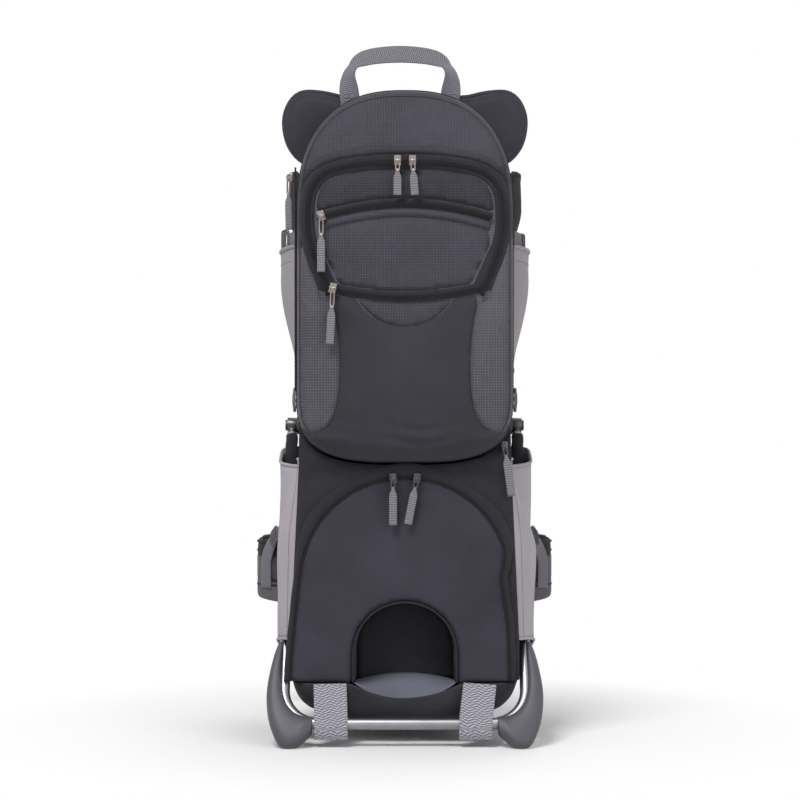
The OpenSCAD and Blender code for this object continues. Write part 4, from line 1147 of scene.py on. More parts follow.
def recess():
    """Open recess under the flap: bound mouth, wall, back and hanging floor."""
    mouth = on_plane(even(recess_line(RECESS_HALF), 4), FLAP_FRONT + 0.6)
    sweep("recess_binding", mouth, round_profile(1.3), (0, -1, 0), BLACK, FOLD)
    rows = []
    for t in np.linspace(0, 1, 9):
        rows.append(on_plane(recess_line(RECESS_HALF - 0.4 - 3.0 * t), LOWER_FRONT - 2 + RECESS_DEEP * t))
    sheet_grid("recess_wall", rows, DEEP, FOLD, "lower_compartment", thick=1.2, toward=(0, -130, 400))

    def soft(u, v, d):
        return 0.8 * ripple(u, v, 20, 1.5) * smooth(d / 14)

    panel("recess_back", recess_line(RECESS_HALF - 3.4), upright(LOWER_FRONT + RECESS_DEEP - 2.2), DEEP, FOLD,
        puff=3.0, edge=14, held="hung", lift=soft)

    u = np.linspace(-RECESS_HALF + 2, RECESS_HALF - 2, 30)
    dip = 1 - (u / (RECESS_HALF - 2)) ** 2
    rows = []
    for t in np.linspace(0, 1, 12):
        y = (LOWER_FRONT + RECESS_DEEP - 3) * (1 - t) + (LOWER_FRONT - 2.5) * t
        z = 72 + 9 * dip * (1 - t) ** 2 + 3 * t - 23 * dip * t**1.3
        rows.append(columns(u, y, z))
    sheet_grid("recess_floor", rows, BLUE, FOLD, "compartment_floor", toward=(0, -130, 0))


def block_walls():
    """Side and back wall of the lower compartment, and its lid."""
    x, front, back = LOWER_HALF, LOWER_FRONT, LOWER_BACK
    side = [(-x, front + 1), (-x, 40), (-x + 8, back - 6), (-x + 22, back - 0.6)]
    path = even(curve(np.vstack([arr(side), mirror(side)[::-1]]), 8), 9)
    rows = []
    for z in np.linspace(LOWER_BOTTOM, LOWER_TOP - 0.5, 22):
        k = 1 - (x - LOWER_TOP_HALF) / x * (z - LOWER_BOTTOM) / (LOWER_TOP - LOWER_BOTTOM)
        rows.append(columns(path[:, 0] * k, path[:, 1], z))
    sheet_grid("compartment_wall", rows, BLACK, FOLD, thick=1.5, toward=(0, -50, 200))
    lid = arr([(-126, front + 2), (126, front + 2), (127, 50), (108, back - 1), (-108, back - 1), (-127, 50)])
    panel("compartment_lid", lid, lambda u, v, h: columns(u, v, LOWER_TOP - 1.9 + h), BLACK, "carrier",
        puff=1.2, edge=6, step=12, held="stretched")


def base():
    """Hanging black tray under the compartment."""
    low = box_mm("base_panel")[0][2]
    front, back = LOWER_FRONT - 4, LOWER_BACK
    rings = []
    for t in np.linspace(0, 1, 13):
        inset = 20 * (1 - math.sqrt(max(0, 1 - (1 - t) ** 3)))
        ring = even_oval(9 - 3 * (1 - t), 120)
        y0, y1 = front + 0.5 * inset + 3 * (1 - t), back - 0.5 * inset
        x = ring[:, 0] * (LOWER_HALF + 3 - inset - 9 * (1 - t))
        y = (y0 + y1) / 2 + ring[:, 1] * (y1 - y0) / 2
        near = smooth((front + 60 - y) / 50)
        z = low + 1.5 + (LOWER_BOTTOM - 0.6 - low - 1.5) * t
        z = z - 18 * np.clip(1 - (x / (RECESS_HALF + 4)) ** 2, 0, 1) * near * t
        z += (9 * smooth((abs(x) - 70) / 60) + 1.5 * ripple(x, y, 18, 0.9)) * (1 - t)
        y = y + 2.2 * np.sin(x / 15 + 0.7 * np.sin(x / 31)) * near * 4 * t * (1 - t)
        rings.append(columns(x, y, z))
    rings = [rings[0] + (rings[0].mean(0) - rings[0]) * k for k in (0.98, 0.6, 0.3)] + rings
    obj = thicken(piece("base_cloth", *skin(rings, caps=False), STRETCH, FOLD, "base_panel"), 1.4)


def body_half(z):
    """Half width of the lower compartment at a height."""
    share = np.clip((z - LOWER_BOTTOM) / (LOWER_TOP - LOWER_BOTTOM), 0, 1)
    return LOWER_HALF - (LOWER_HALF - LOWER_TOP_HALF) * share


def gussets():
    s = np.linspace(0, 1, 40)
    for name, side, reach in (("gusset_left", -1, 159.5), ("gusset_right", 1, 162)):
        rows = []
        for t in np.linspace(0, 1, 30):
            y = LOWER_FRONT + 0.5 + (66 - LOWER_FRONT - 0.5) * s
            low = 127 - 43 * s**1.5
            high = 346 + 10 * s - 16 * np.sin(np.pi * s) ** 2
            z = low + (high - low) * t
            rest = body_half(z) + 2.4
            shut = smooth((t - 0.5) / 0.5) * (1 - smooth((s - 0.4) / 0.25))
            swell = (1 - abs(1 - 2 * s) ** np.where(s > 0.5, 13, 3.4)) * (1 - shut)
            crease = 2.4 * np.sin(s * 12 + 4 * t + side) + 1.0 * np.sin(s * 29 - 7 * t)
            fold = crease * math.sin(math.pi * t) * np.sin(np.pi * s)
            x = rest + (reach - rest) * swell + fold
            rows.append(columns(side * x, y, z))
        sheet_grid(name + "_cloth", rows, LIGHT, FOLD, name, thick=2.0, toward=(0, -40, 200))
        for label, k in (("top", -1), ("bottom", 0)):
            line = even(rows[k], 6)
            sweep(f"{name}_{label}_binding", line, round_profile(1.8), (side, 0, 0), LIGHT, FOLD)
        seam = arr([r[2] for r in rows])
        stitches(name + "_stitch", [seam + arr([side * 0.8, -0.3, 0])], (side * 0.6, -0.8, 0), FOLD, 4.5)


# Stand
STAND_ARM_X = 147
STAND_PIVOT, STAND_RISE = (55, 385), (240, 358)
STAND_BAR_Y, STAND_BAR_Z = -185, 27


def arm_covers():
    """Cloth sleeves over the upper ends of the stand's arms."""
    pivot, along = arr(STAND_PIVOT), -unit(arr(STAND_RISE))
    for name, side in SIDES:
        line = arr([(side * STAND_ARM_X, *(pivot + along * k)) for k in np.linspace(17, 84, 16)])
        line[:, 0] += 0.4 * np.sin(np.arange(16) * 1.3)
        sweep(f"stand_arm_cover_{name}", line, round_profile(7.8, 20), (side, 0, 0), BLACK, "kickstand")


def stand_feet():
    """Curved moulded feet: rings between an outer and an inner edge, drawn square to the stand."""
    outer = curve([
        (155.5, 108), (161, 90), (166.5, 60), (168.3, 36), (166, 10), (160.5, -10),
        (153, -26), (143, -34), (131, -31), (120, -21), (112.5, -13.5),
    ], 4)
    inner = curve([
        (147.5, 108), (147.5, 92), (148.5, 66), (147.5, 44), (143.5, 28), (137, 18.5),
        (129, 12.5), (122, 9.8), (117, 9), (113.8, 8.6), (111.3, 8.5),
    ], 4)
    thick = np.interp(np.linspace(0, 1, len(outer)), [0, 0.15, 0.4, 0.8, 1], [7.5, 10.5, 12, 11.5, 9])
    rise, run = STAND_RISE[1], STAND_RISE[0]
    along, through = unit([0, run, rise]), unit([0, -rise, run])
    section = oval(1, 1, 2.6, 28)
    rings = []
    for a, b, half in zip(outer, inner, thick):
        flat = (a + b) / 2 + np.outer(section[:, 0], (a - b) / 2)
        ring = np.outer(flat[:, 0], [1, 0, 0]) + np.outer(flat[:, 1], along)
        ring += np.outer(section[:, 1] * half, through)
        ring += (0, STAND_BAR_Y, STAND_BAR_Z)
        ring[:, 2] = np.maximum(ring[:, 2], 0.3)
        rings.append(ring)
    top = rings[0].mean(0)
    rings.insert(0, top + (rings[0] - top) * 0.6 + along * 2)
    for name, side in SIDES:
        node = "stand_foot_" + name
        mirrored = [r * (side, 1, 1) for r in rings]
        subdivide(piece(node + "_moulding", *skin(mirrored), PLASTIC, "kickstand", node))


def stand_straps():
    """Webbing loops that hang with some slack round the stand bar."""
    bar = arr([STAND_BAR_Y, STAND_BAR_Z])
    top = arr([-167.4, 73])
    rise = math.degrees(math.atan2(*(top - bar)[::-1]))
    turn = arc(bar - 9 * unit(top - bar), 9.3, rise + 97, rise + 263, 26)
    fold = top + arr([(1.7, -3), (1.2, 0), (-0.8, 0.8), (-1.9, -2)])
    loop = even(np.vstack([turn, fold]), 3.5, closed=True)
    normals = columns(0, *(offset(loop, 1) - loop).T)
    for name, drift in (("stand_strap_left", 2), ("stand_strap_right", -6)):
        x = middle(name)[0] + drift * np.clip((top[1] - loop[:, 1]) / 46, 0, 1)
        line = columns(x, *loop.T)
        sweep(name + "_web", line, web_profile(40, 1.9), normals, WEB, "kickstand", name, closed=True)


# Top and cockpit
WING_CENTRE = (102, 754)
HANDLE_SHIFT = 6


def dome_outline(half, low, top, turn):
    """Flat-bottomed outline with a rounded top, from the right foot over the top."""
    return np.vstack([[(half, low)], rounded_end(half, turn, top, 0.8, 40), [(-half, low)]])


def handle():
    """Webbing loop: flat legs, turned edge-on at the corners, and a top that lies back."""
    y = middle("grab_handle")[1]
    right = [(0, 845.5), (33, 843), (51, 837), (61, 826), (64, 816), (63.5, 804), (60, 776)]
    flat = even(curve(np.vstack([mirror(right)[::-1], arr(right)[1:]]), 8), 3.5)
    outer = offset(flat, 1) - flat
    height = flat[:, 1]
    turn = np.radians(np.interp(height, [776, 800, 818, 830, 840, 846], [0, 12, 48, 62, 34, 24]))
    facing = columns(outer[:, 0] * np.sin(turn), -np.cos(turn), outer[:, 1] * np.sin(turn))
    line = on_plane(flat - (HANDLE_SHIFT, 0), y)
    line[:, 1] += 4.0 * smooth((height - 800) / 45)
    sweep("grab_handle_web", line, web_profile(24.5, 2.2), facing, WEB_MID, "carrier", "grab_handle")
    rows = []
    for side in (-1, 1):
        for k in (-9, 9):
            rows.append([(side * (62.5 + k) - HANDLE_SHIFT, 797), (side * (60 + k) - HANDLE_SHIFT, 779)])
        rows.append([(side * (61.5 + (7 if i % 2 else -7)) - HANDLE_SHIFT, 780 + 2.4 * i) for i in range(8)])
    rows = [on_plane(row, y - 1.6) for row in rows]
    stitches("grab_handle_stitch", rows, (0, -1, 0), "carrier", pitch=2.4, size=0.7)


def ears():
    low, high = box_mm("head_wing_right")
    outline = curve([
        (52, 745), (57, 788), (80, 795), (103, 800), (127, 800.5), (142, 790),
        (150.5, 770), (150, 748), (143, 728), (128, 712), (104, 704), (74, 712),
    ], 8, closed=True)
    outline = even(outline, 6, closed=True)
    depth = high[1] - low[1]
    levels = [
        (0.5, 0.0), (0.8, 0.02), (0.94, 0.14), (1, 0.45),
        (0.99, 0.6), (0.94, 0.88), (0.8, 0.99), (0.5, 1),
    ]
    rings = cushion_rings(outline, WING_CENTRE, [(k, low[1] + 1.2 + (depth - 2.4) * d) for k, d in levels])

    def seams(p):
        rim = to_edge(np.abs(p[:, [0, 2]]), outline)
        return groove(p, np.where(p[:, 1] < low[1] + 5, abs(rim - 9), FAR), 1.3, 2.2, 1, -1)

    pad("head_wing_right_pad", rings, STRETCH, "carrier", "head_wing_right", cap=1.6, voxel=3.6, shape=seams,
        twin=("head_wing_left_pad", "carrier", "head_wing_left"))
    rim = arr(WING_CENTRE) + (outline - WING_CENTRE) * 0.972
    for name, side in SIDES:
        edge = on_plane(rim * (side, 1), middle("head_wing_right")[1])
        sweep(f"head_wing_{name}_rim", edge, round_profile(2.6), (0, -1, 0), SLATE, "carrier", closed=True)


def backrest():
    low, high = box_mm("child_backrest")
    b, f = low[1], high[1]
    outline = even(dome_outline(high[0], low[2], high[2], PACK_ROUND + 20), 9, closed=True)
    levels = [
        (0.6, 0), (0.965, 0.02), (0.995, 0.25), (1, 0.45),
        (0.98, 0.7), (0.93, 0.88), (0.82, 0.97), (0.4, 0.98),
    ]
    rings = cushion_rings(outline, (0, 560), levels, b, f)

    def quilted(p):
        facing = p[:, 1] > (b + f) / 2
        near = np.min([abs(p[:, 2] - z) for z in (430, 520, 610, 700)] + [abs(abs(p[:, 0]) - 62)], 0)
        return groove(p, np.where(facing, near, FAR), 3.2, 4.0, 1, 1)

    pad("backrest_pad", rings, BLACK, "carrier", "child_backrest", cap=3.0, voxel=7, shape=quilted)
    wall = dome_outline(PACK_HALF - 2, LOWER_TOP - 4, PACK_HIGH[2] - 2, PACK_ROUND)
    panel("carrier_back_wall", wall, upright(PACK_BACK + 2.4), BLACK, "carrier",
        puff=0.4, edge=8, step=12, held="stretched")


def oval_pad(node, power, count):
    """Outline and centre of an oval pad seen along Y, and its back and front."""
    low, high = box_mm(node)
    centre = (0, (low[2] + high[2]) / 2)
    return oval(high[0], (high[2] - low[2]) / 2, power, count) + centre, centre, low[1], high[1]


def face_pad():
    outline, centre, b, f = oval_pad("face_pad", 3.4, 72)
    levels = [(0.4, 0.04), (0.75, 0.05), (0.93, 0.22), (1, 0.55), (0.97, 0.82), (0.85, 0.97), (0.4, 0.98)]
    rings = cushion_rings(outline, centre, levels, b, f)
    pad("face_pad_cushion", rings, SLATE, "carrier", "face_pad", cap=3, voxel=5)


def seat():
    low, high = box_mm("child_seat")
    flat = oval(1, 1, 3, 64)
    y0, y1 = (low[1] + high[1]) / 2, (high[1] - low[1]) / 2
    rings = []
    for k, d in ((0.5, 0.03), (0.82, 0.04), (0.96, 0.2), (1, 0.46), (0.96, 0.76), (0.84, 0.94), (0.5, 0.97)):
        x = flat[:, 0] * high[0] * (0.92 - 0.14 * flat[:, 1]) * k
        rings.append(columns(x, y0 + flat[:, 1] * y1 * k, low[2] + (high[2] - low[2]) * d))

    def tufted(p):
        top = p[:, 2] > (low[2] + high[2]) / 2
        near = np.where(top, np.minimum(abs(p[:, 0]), abs(p[:, 1] - y0 - 6)), FAR)
        return groove(p, near, 2.6, 4.0, 2, 1)

    pad("seat_cushion", rings, SLATE, "seat", "child_seat", cap=3, voxel=6, shape=tufted)


def harness():
    y = box_mm("child_harness")[0][1]
    for name, side in SIDES:
        flip = (side, 1, 1)
        line = curve([(44, y + 1.6, 650), (40, y + 1.6, 560), (28, y + 1.6, 490), (19, y + 2.2, 462)], 8)
        stands = "child_harness" if side > 0 else ()
        line = even(line, 5) * flip
        sweep(f"harness_web_{name}", line, web_profile(25, 2), (0, 1, 0), DARK_WEB, "carrier", stands)
        sleeve = even(curve([(43, y + 8, 636), (40, y + 8, 570), (29, y + 8, 500)], 10), 5) * flip
        k = np.linspace(-1, 1, len(sleeve))
        rings = strap_rings(sleeve, (1, 0, 0), 44 * (1 - 0.5 * k**8), 9 * (1 - 0.5 * k**8), 3, 20)
        obj = piece(f"harness_sleeve_{name}", *skin(rings), BLACK, "carrier")
        subdivide(obj)
    line = columns(0, y + 1.6, np.linspace(366, 432, 12))
    sweep("harness_crotch_web", line, web_profile(25, 2.4), (0, 1, 0), DARK_WEB, "carrier")


def strap_rings(line, across, widths, thick, power, count):
    """Rings of a padded strap: widths along the across direction, thick through it."""
    d = directions(line)
    side = unit(arr(across) - np.outer(d @ arr(across), np.ones(3)) * d)
    up = np.cross(d, side)
    widths, thick = np.broadcast_to(widths, len(line)), np.broadcast_to(thick, len(line))
    section = oval(0.5, 0.5, power, count)
    rings = []
    for at, wide, deep, x, y in zip(line, widths, thick, side, up):
        rings.append(at + np.outer(section[:, 0] * wide, x) + np.outer(section[:, 1] * deep, y))
    return rings


def side_walls():
    low, high = box_mm("side_panel_right")
    inner, rear, front = low[0], low[1], high[1]
    top = curve([(rear, 690), (rear + 12, 700), (rear + 50, 688), (rear + 110, 664), (front, 636)], 6)
    leg_hole = arc((front, 418), 80, 90, 180, 18)
    outline = np.vstack([[(rear, 402)], top, leg_hole, [(front - 84, 402)]])

    def swell(u, v):
        """The wall stands out round the child's shoulders."""
        return 13 * smooth((v - 596) / 60) * smooth((u - rear) / 26) * smooth((front - u) / 120)

    def folds(u, v, d):
        return swell(u, v) + 0.9 * ripple(u, v, 24, 1.2) * smooth(d / 14)

    for name, side in SIDES:
        label = "side_wall_" + name
        panel(label, outline, lambda u, v, h: columns(side * (inner + 1.2 + h), u, v), BLACK, "carrier",
            "side_panel_" + name, puff=1.6, edge=7, step=8, thick=2.0, held="hung", lift=folds)
        u, v = even(outline, 7, closed=True).T
        ring = columns(side * (inner + 1.0 + swell(u, v)), u, v)
        sweep(label + "_binding", ring, round_profile(2.0), (side, 0, 0), BINDING, "carrier", closed=True)
        side_pocket(name, side, high[0] + 0.6)
        compression_strap(name, side)
        bottle_strap(name, side)


def side_pocket(name, side, x0):
    low, high = box_mm("side_pocket_right")
    y0, half = (low[1] + high[1]) / 2, (high[1] - low[1]) / 2
    bottom, mouth = low[2] + 2, high[2]
    node = "side_pocket_" + name
    s = np.linspace(-1, 1, 34)
    rows = []
    for t in np.linspace(0, 1, 26):
        wide = half * (0.80 + 0.2 * math.sin(min(t / 0.35, 1) * math.pi / 2))
        bow = (3 + 19.5 * smooth(t / 0.75) ** 0.8) * (1 - abs(s) ** 3.2)
        gather = 0.9 * np.sin(s * 34) * smooth((t - 0.86) / 0.14) * (1 - s**4)
        z = bottom + (mouth - bottom) * t + 7 * (1 - t) * s**2 - 5 * smooth((t - 0.7) / 0.3) * (1 - s**2)
        x = x0 + bow + gather + 0.8 * np.sin(6 * s + 5 * t) * math.sin(math.pi * t) * (1 - s**2)
        rows.append(columns(side * x, y0 + s * wide, z))
    sheet_grid(node + "_cloth", rows, POCKET, "carrier", node,
        thick=1.8, toward=(0, y0, 530))
    for label, k, r in (("hem", -1, 2.4), ("foot", 0, 1.8)):
        sweep(f"{node}_{label}", even(rows[k], 4), round_profile(r), (side, 0, 0), POCKET, "carrier")
    seam = rows[-4][2:-2] + (side * 0.3, 0, 0)
    stitches(node + "_stitch", [seam], (side, 0, 0), "carrier", pitch=3.6)


def ladder_lock(name, at, along, up, width, body, height):
    """Three-bar strap adjuster, laid along a strap."""
    along, up = unit(along), unit(up)
    across = np.cross(up, along)
    w, h = width / 2 + 3.5, height / 2
    ring = arr([arr(at) + x * across + y * along for x, y in oval(w, h, 6, 40)])
    sweep(name + "_frame", ring, web_profile(3.6, 3.2), up, BUCKLE, body, closed=True)
    for label, k in (("upper", 0.32), ("lower", -0.32)):
        bar = []
        for x in np.linspace(-w + 1, w - 1, 9):
            bar.append(arr(at) + x * across + k * h * along + 1.6 * up * (1 - (x / w) ** 2))
        sweep(f"{name}_{label}_bar", bar, web_profile(3.0, 2.6), up, BUCKLE, body)


def compression_strap(name, side):
    low, high = box_mm("compression_straps")
    x, rear, z = high[0] - 8.0, low[1], (low[2] + high[2]) / 2
    stands = "compression_straps" if side > 0 else ()
    line = columns(side * x, np.linspace(rear, high[1], 20), z)
    sweep(f"compression_web_{name}", line, web_profile(20, 1.8), (side, 0, 0), WEB, "carrier", stands)
    at = (side * (x + 2.2), rear + 13, z)
    ladder_lock(f"compression_lock_{name}", at, (0, 1, 0), (side, 0, 0), 20, "carrier", 18)


def bottle_strap(name, side):
    """Strap above a side pocket, with its adjuster."""
    z = box_mm("side_pocket_right")[1][2] + 9
    line = curve([(134.5, -113, z), (142, -80, z), (147, -45, z), (145, -5, z), (140, 36, z)], 8)
    line = even(line, 5) * (side, 1, 1)
    sweep(f"bottle_web_{name}", line, web_profile(18, 1.6), (side, -0.25, 0), BLACK_WEB, "carrier")
    x, y = (150.5, -58) if side < 0 else (150, 4)
    along, up = (side * 0.45, 0.89, 0), (side * 0.89, -0.45, 0)
    ladder_lock(f"bottle_lock_{name}", (side * x, y, z), along, up, 18, "carrier", 18)


# Wearer's side
YOKE_CENTRE = (0, 524)


def back_pads():
    outline, centre, b, f = oval_pad("back_panel", 6, 120)
    levels = [
        (0.6, 0.03), (0.93, 0.04), (0.99, 0.22), (1, 0.45),
        (0.97, 0.75), (0.9, 0.92), (0.78, 0.98), (0.4, 0.98),
    ]
    rings = cushion_rings(outline, centre, levels, b, f)

    def channelled(p):
        face = p[:, 1] > b + 0.6 * (f - b)
        rows = np.min([abs(p[:, 2] - z) for z in (262, 340, 418, 496, 574)], 0)
        near = np.where(abs(p[:, 0]) > 34, np.minimum(rows, abs(abs(p[:, 0]) - 36)), FAR)
        return groove(p, np.where(face, near, FAR), 5.5, 5.0, 1, 1)

    pad("back_panel_pad", rings, MESH, "carrier", "back_panel", cap=3.5, voxel=7, shape=channelled)
    edge = on_plane(even(outline, 8, closed=True), b + 0.46 * (f - b))
    sweep("back_panel_binding", edge, round_profile(2.6), (0, 1, 0), BINDING, "carrier", closed=True)


def lumbar():
    outline, centre, b, f = oval_pad("lumbar_pad", 4, 80)
    levels = [
        (0.5, 0.03), (0.93, 0.05), (0.99, 0.3), (1, 0.6),
        (0.96, 0.84), (0.86, 0.94), (0.7, 0.97), (0.35, 0.93),
    ]
    rings = cushion_rings(outline, centre, levels, b, f)

    def ribbed(p):
        face = p[:, 1] > b + 0.5 * (f - b)
        near = np.minimum(abs(abs(p[:, 0]) - 30), abs(p[:, 2] - centre[1]))
        return groove(p, np.where(face, near, FAR), 4.0, 4.5, 1, 1)

    pad("lumbar_cushion", rings, MESH, "carrier", "lumbar_pad", cap=3, voxel=5, shape=ribbed)


def torso_ladder():
    low, high = box_mm("torso_ladder")
    y = low[1] + 1.0
    line = columns(0, y, np.linspace(low[2], high[2], 40))
    web = web_profile(high[0] * 2, 1.5)
    sweep("torso_ladder_web", line, web, (0, 1, 0), DARK_WEB, "carrier", "torso_ladder")
    t = np.linspace(0, 1, 9)
    rows = []
    for i in range(9):
        z = 345 + 31 * i
        loop = columns(0, y + 0.9 + 2.0 * np.sin(math.pi * t), z - 11 + 22 * t)
        sweep(f"torso_ladder_rung_{i}", loop, web_profile(34, 1.1), (0, 1, 0), WEB_MID, "carrier")
        rows += [arr([(-16, y + 1.7, z + k), (16, y + 1.7, z + k)]) for k in (-11, 11)]
    stitches("torso_ladder_stitch", rows, (0, 1, 0), "carrier", pitch=2.6, size=0.7)


def shoulder_line():
    root = box_mm("shoulder_yoke")[1][1] + 1.1 + 7
    line = curve([
        (42, root, 500), (43, root, 545), (46, root + 10, 588), (53, 163, 610), (61, 184, 590),
        (68, 191, 545), (74, 191, 480), (78, 191, 415), (82, 180, 362), (84, 166, 328),
    ], 12)
    return even(line, 8)


def yoke_plate():
    low, high = box_mm("shoulder_yoke")
    b, f = low[1], high[1]
    flat = oval(76, 38, 4, 72)
    outline = columns(flat[:, 0] * (1 - flat[:, 1] / 300), YOKE_CENTRE[1] + flat[:, 1])
    levels = [(0.5, b + 1.3), (0.96, b + 1.3), (1, b + 2.4), (1, f - 1.4), (0.96, f), (0.5, f)]
    rings = cushion_rings(outline, YOKE_CENTRE, levels)
    piece("shoulder_yoke_plate", *skin(rings), BLACK, "yoke", "shoulder_yoke")
    row = arr(YOKE_CENTRE) + (np.vstack([outline, outline[:1]]) - YOKE_CENTRE) * 0.9
    stitches("shoulder_yoke_stitch", [on_plane(row, f + 0.2)], (0, 1, 0), "yoke", pitch=3.6)


def shoulders():
    line = shoulder_line()
    t = np.linspace(0, 1, len(line))
    widths = 63 * np.interp(t, [0, 0.05, 0.12, 0.8, 0.95, 1], [0.66, 0.8, 0.97, 0.97, 0.84, 0.6])
    thick = 14 * np.interp(t, [0, 0.06, 0.94, 1], [0.5, 0.9, 0.9, 0.5])
    rings = strap_rings(line, (1, 0, 0), widths, thick, 3, 26)
    pad("shoulder_right_pad", rings, MESH, "yoke", "shoulder_strap_right", cap=1.4, voxel=4.6,
        twin=("shoulder_left_pad", "yoke", "shoulder_strap_left"))
    d = directions(line)
    out = np.cross(arr([1, 0, 0]), d)
    out = np.where(out[:, 1:2] + 0.4 * out[:, 2:3] > 0, out, -out)
    half = unit(arr([1, 0, 0]) - d * d[:, 0:1])
    run = slice(int(0.34 * len(line)), len(line))
    for name, side in SIDES:
        flip = (side, 1, 1)
        for label, k in (("inner", -1), ("outer", 1)):
            edge = (line + half * (widths * 0.5 * k)[:, None]) * flip
            sweep(f"shoulder_{name}_{label}_binding", edge, round_profile(2.3), out * flip, BINDING, "yoke")
        top, normals = (line + out * 7.6)[run] * flip, (out * flip)[run]
        sweep(f"shoulder_{name}_web", top, web_profile(25, 1.6), normals, DARK_WEB, "yoke")
        rows = [top + arr([side * k, 0, 0]) + normals * 0.9 for k in (-10.5, 10.5)]
        stitches(f"shoulder_{name}_stitch", rows, (0, 1, 0), "yoke", pitch=3.6, size=0.7)
        lower_web(name, side)
        load_lifter(name, side)


def lower_web(name, side):
    """Webbing from the foot of a shoulder strap to the side of the lumbar pad."""
    line = curve([
        (84, 168, 336), (86, 154, 306), (88, 140, 284), (90, 120, 258), (91, 112.6, 242), (91, 111.4, 226),
    ], 8)
    line = even(line, 6) * (side, 1, 1)
    bodies = ("yoke", "carrier", (0, 0.160, 0.320), (0, 0.122, 0.262))
    normal = (side * 0.25, 0.9, -0.3)
    sweep(f"shoulder_{name}_lower_web", line, web_profile(25, 1.8), normal, DARK_WEB, bodies)
    at, along = (side * 84.5, 166, 326), (side * 0.05, -0.45, -0.9)
    ladder_lock(f"shoulder_{name}_lock", at, along, (0, 0.9, -0.45), 25, "yoke", 18)


def load_lifter(name, side):
    line = curve([(51, 160, 617), (49, 138, 633), (47, 110, 645), (46, 90, 652)], 8)
    line = even(line, 5) * (side, 1, 1)
    bodies = ("yoke", "carrier", (0, 0.150, 0.622), (0, 0.092, 0.650))
    sweep(f"load_lifter_{name}", line, web_profile(20, 1.6), (0, 0.45, 0.9), DARK_WEB, bodies)
    at = (side * 51.5, 158, 619)
    ladder_lock(f"load_lifter_lock_{name}", at, (0, -0.8, 0.6), (0, 0.6, 0.8), 20, "yoke", 15)


def rounded_plate(name, centre, half, y0, y1, power=5):
    """A moulded plate of the sternum buckle, facing along Y, with softened edges."""
    outline = oval(half[0], half[1], power, 48) + arr(centre)
    soften = min(1.2, (y1 - y0) / 3)
    k = 1 - soften / min(half)
    levels = [(0.4, y0), (k, y0), (1, y0 + soften), (1, y1 - soften), (k, y1), (0.4, y1)]
    piece(name, *skin(cushion_rings(outline, centre, levels)), BUCKLE, "sternum")


def sternum():
    y, z = box_mm("sternum_strap")[0][1] + 1.5, middle("sternum_strap")[2]
    line = columns(np.linspace(-92, 92, 60), y + 1.2, z)
    sweep("sternum_web", line, web_profile(20, 1.8), (0, 1, 0), DARK_WEB, "sternum", "sternum_strap")
    for name, side in SIDES:
        rounded_plate("sternum_clip_" + name, (side * 77, z), (16.5, 14.5), y + 0.2, y + 5)
    rounded_plate("sternum_socket", (-8, z), (19, 14), y + 0.6, y + 10)
    rounded_plate("sternum_plug", (20, z), (7.4, 12), y + 1.0, y + 9)
    for k in (-1, 1):
        rounded_plate(f"sternum_prong_{k + 1}", (10, z + 10.6 * k), (8, 2.4), y + 2, y + 8.4, power=3)


# Hip belt
FIN_PIVOT, FIN_Z, BELT_Y = (99, 121), 192, 206


def fin_line():
    x, y = FIN_PIVOT
    steps = [(0, 0), (31, 13), (65, 28), (87, 46), (93, 66), (88, BELT_Y + 3 - y)]
    return even(curve([(x + a, y + b, FIN_Z) for a, b in steps], 12), 6)


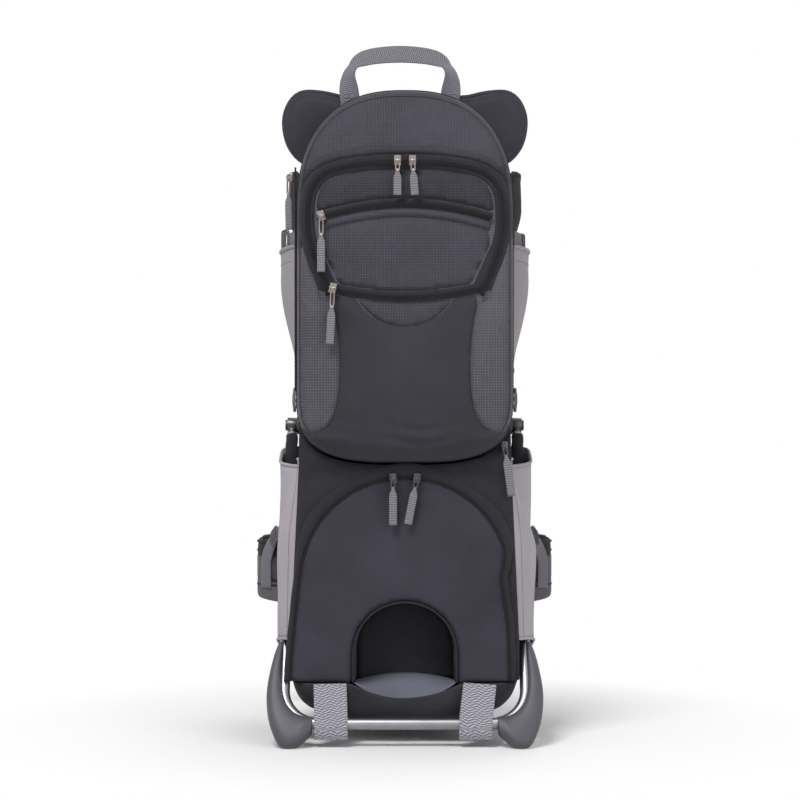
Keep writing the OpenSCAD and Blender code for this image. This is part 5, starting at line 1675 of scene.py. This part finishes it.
def hips():
    line = fin_line()
    count = len(line)
    t = np.linspace(0, 1, count)
    high = 106 * (0.95 - 0.27 * t**1.6) * np.interp(t, [0, 0.93, 1], [1, 1, 0.8])
    thick = 16 * np.interp(t, [0, 0.04, 0.92, 1], [0.8, 1, 0.95, 0.55])
    up = (0, 0, 1)
    rings = strap_rings(line, up, high * 0.97, thick * 0.9, 4, 32)
    pad("hip_right_pad", rings, BLACK, "hip_right", "hip_fin_right", cap=1.8, voxel=5,
        twin=("hip_left_pad", "hip_left", "hip_fin_left"))
    d = directions(line)
    out = columns(d[:, 1], -d[:, 0], 0)
    part, hem = slice(4, count - 1), slice(int(0.3 * count), int(0.86 * count))
    cap = slice(int(0.84 * count), count - 1)
    for name, side in SIDES:
        flip, body = (side, 1, 1), "hip_" + name
        for label, k in (("upper", 1), ("lower", -1)):
            edge = (line + np.outer(k * high * 0.485, up)) * flip
            sweep(f"{body}_{label}_binding", edge, round_profile(2.6), out * flip, BINDING, body)
        strap = (line + out * (thick * 0.5 + 0.4)[:, None])[part] * flip
        normals = (out * flip)[part]
        sweep(body + "_outer_web", strap, web_profile(30, 1.6), normals, BLACK_WEB, body)
        rib = web_profile(3.4, 1.8, 0.5)
        for label, z in (("low", -24), ("middle", 22), ("high", 34)):
            sweep(f"{body}_{label}_rib", strap + (0, 0, z), rib, normals, BINDING, body)
        low_edge = (line - np.outer(high * 0.485 - 13, up))[hem] * flip
        rings = strap_rings(low_edge, up, 31, thick[hem] * 1.14, 5, 30)
        piece(body + "_hem_patch", *skin(rings), PATCH, body)
        rings = strap_rings(line[cap] * flip, up, high[cap], thick[cap] * 1.22, 5, 36)
        piece(body + "_end_patch", *skin(rings), PATCH, body)
        belt = columns(side * np.linspace(104, 188, 30), BELT_Y, FIN_Z)
        sweep(body + "_belt", belt, web_profile(38, 1.9), (0, 1, 0), DARK_WEB, body)
        stabiliser(name, side)


def stabiliser(name, side):
    """Strap from the frame to the outer face of a hip fin, with its adjuster."""
    body = "hip_" + name
    line = curve([
        (133, 88, 292), (150, 105, 270), (166, 125, 245), (180, 145, 222),
        (186.6, 153.8, 202), (187, 153.6, 184), (186.6, 153.8, 164),
    ], 8)
    line = even(line, 5) * (side, 1, 1)
    down = smooth((250 - line[:, 2]) / 40)[:, None]
    normals = unit(arr([side * 0.66, -0.4, 0.5]) * (1 - down) + arr([side * 0.7, -0.71, 0.06]) * down)
    bodies = (body, "carrier", (side * 0.180, 0.145, 0.222), (side * 0.133, 0.088, 0.292))
    sweep(f"stabiliser_{name}", line, web_profile(20, 1.6), normals, WEB_MID, bodies)
    at, along, up = (side * 175, 133.5, 235), (side * 0.5, 0.6, -0.72), (side * 0.7, -0.5, 0.5)
    ladder_lock(f"stabiliser_lock_{name}", at, along, up, 20, body, 17)


for build in (
    stage, dress_cad, daypack, pulls, flap_and_yoke, recess, block_walls, base, gussets,
    arm_covers, stand_feet, stand_straps, handle, ears, backrest, face_pad, seat, harness, side_walls,
    back_pads, lumbar, torso_ladder, yoke_plate, shoulders, sternum, hips,
):
    build()
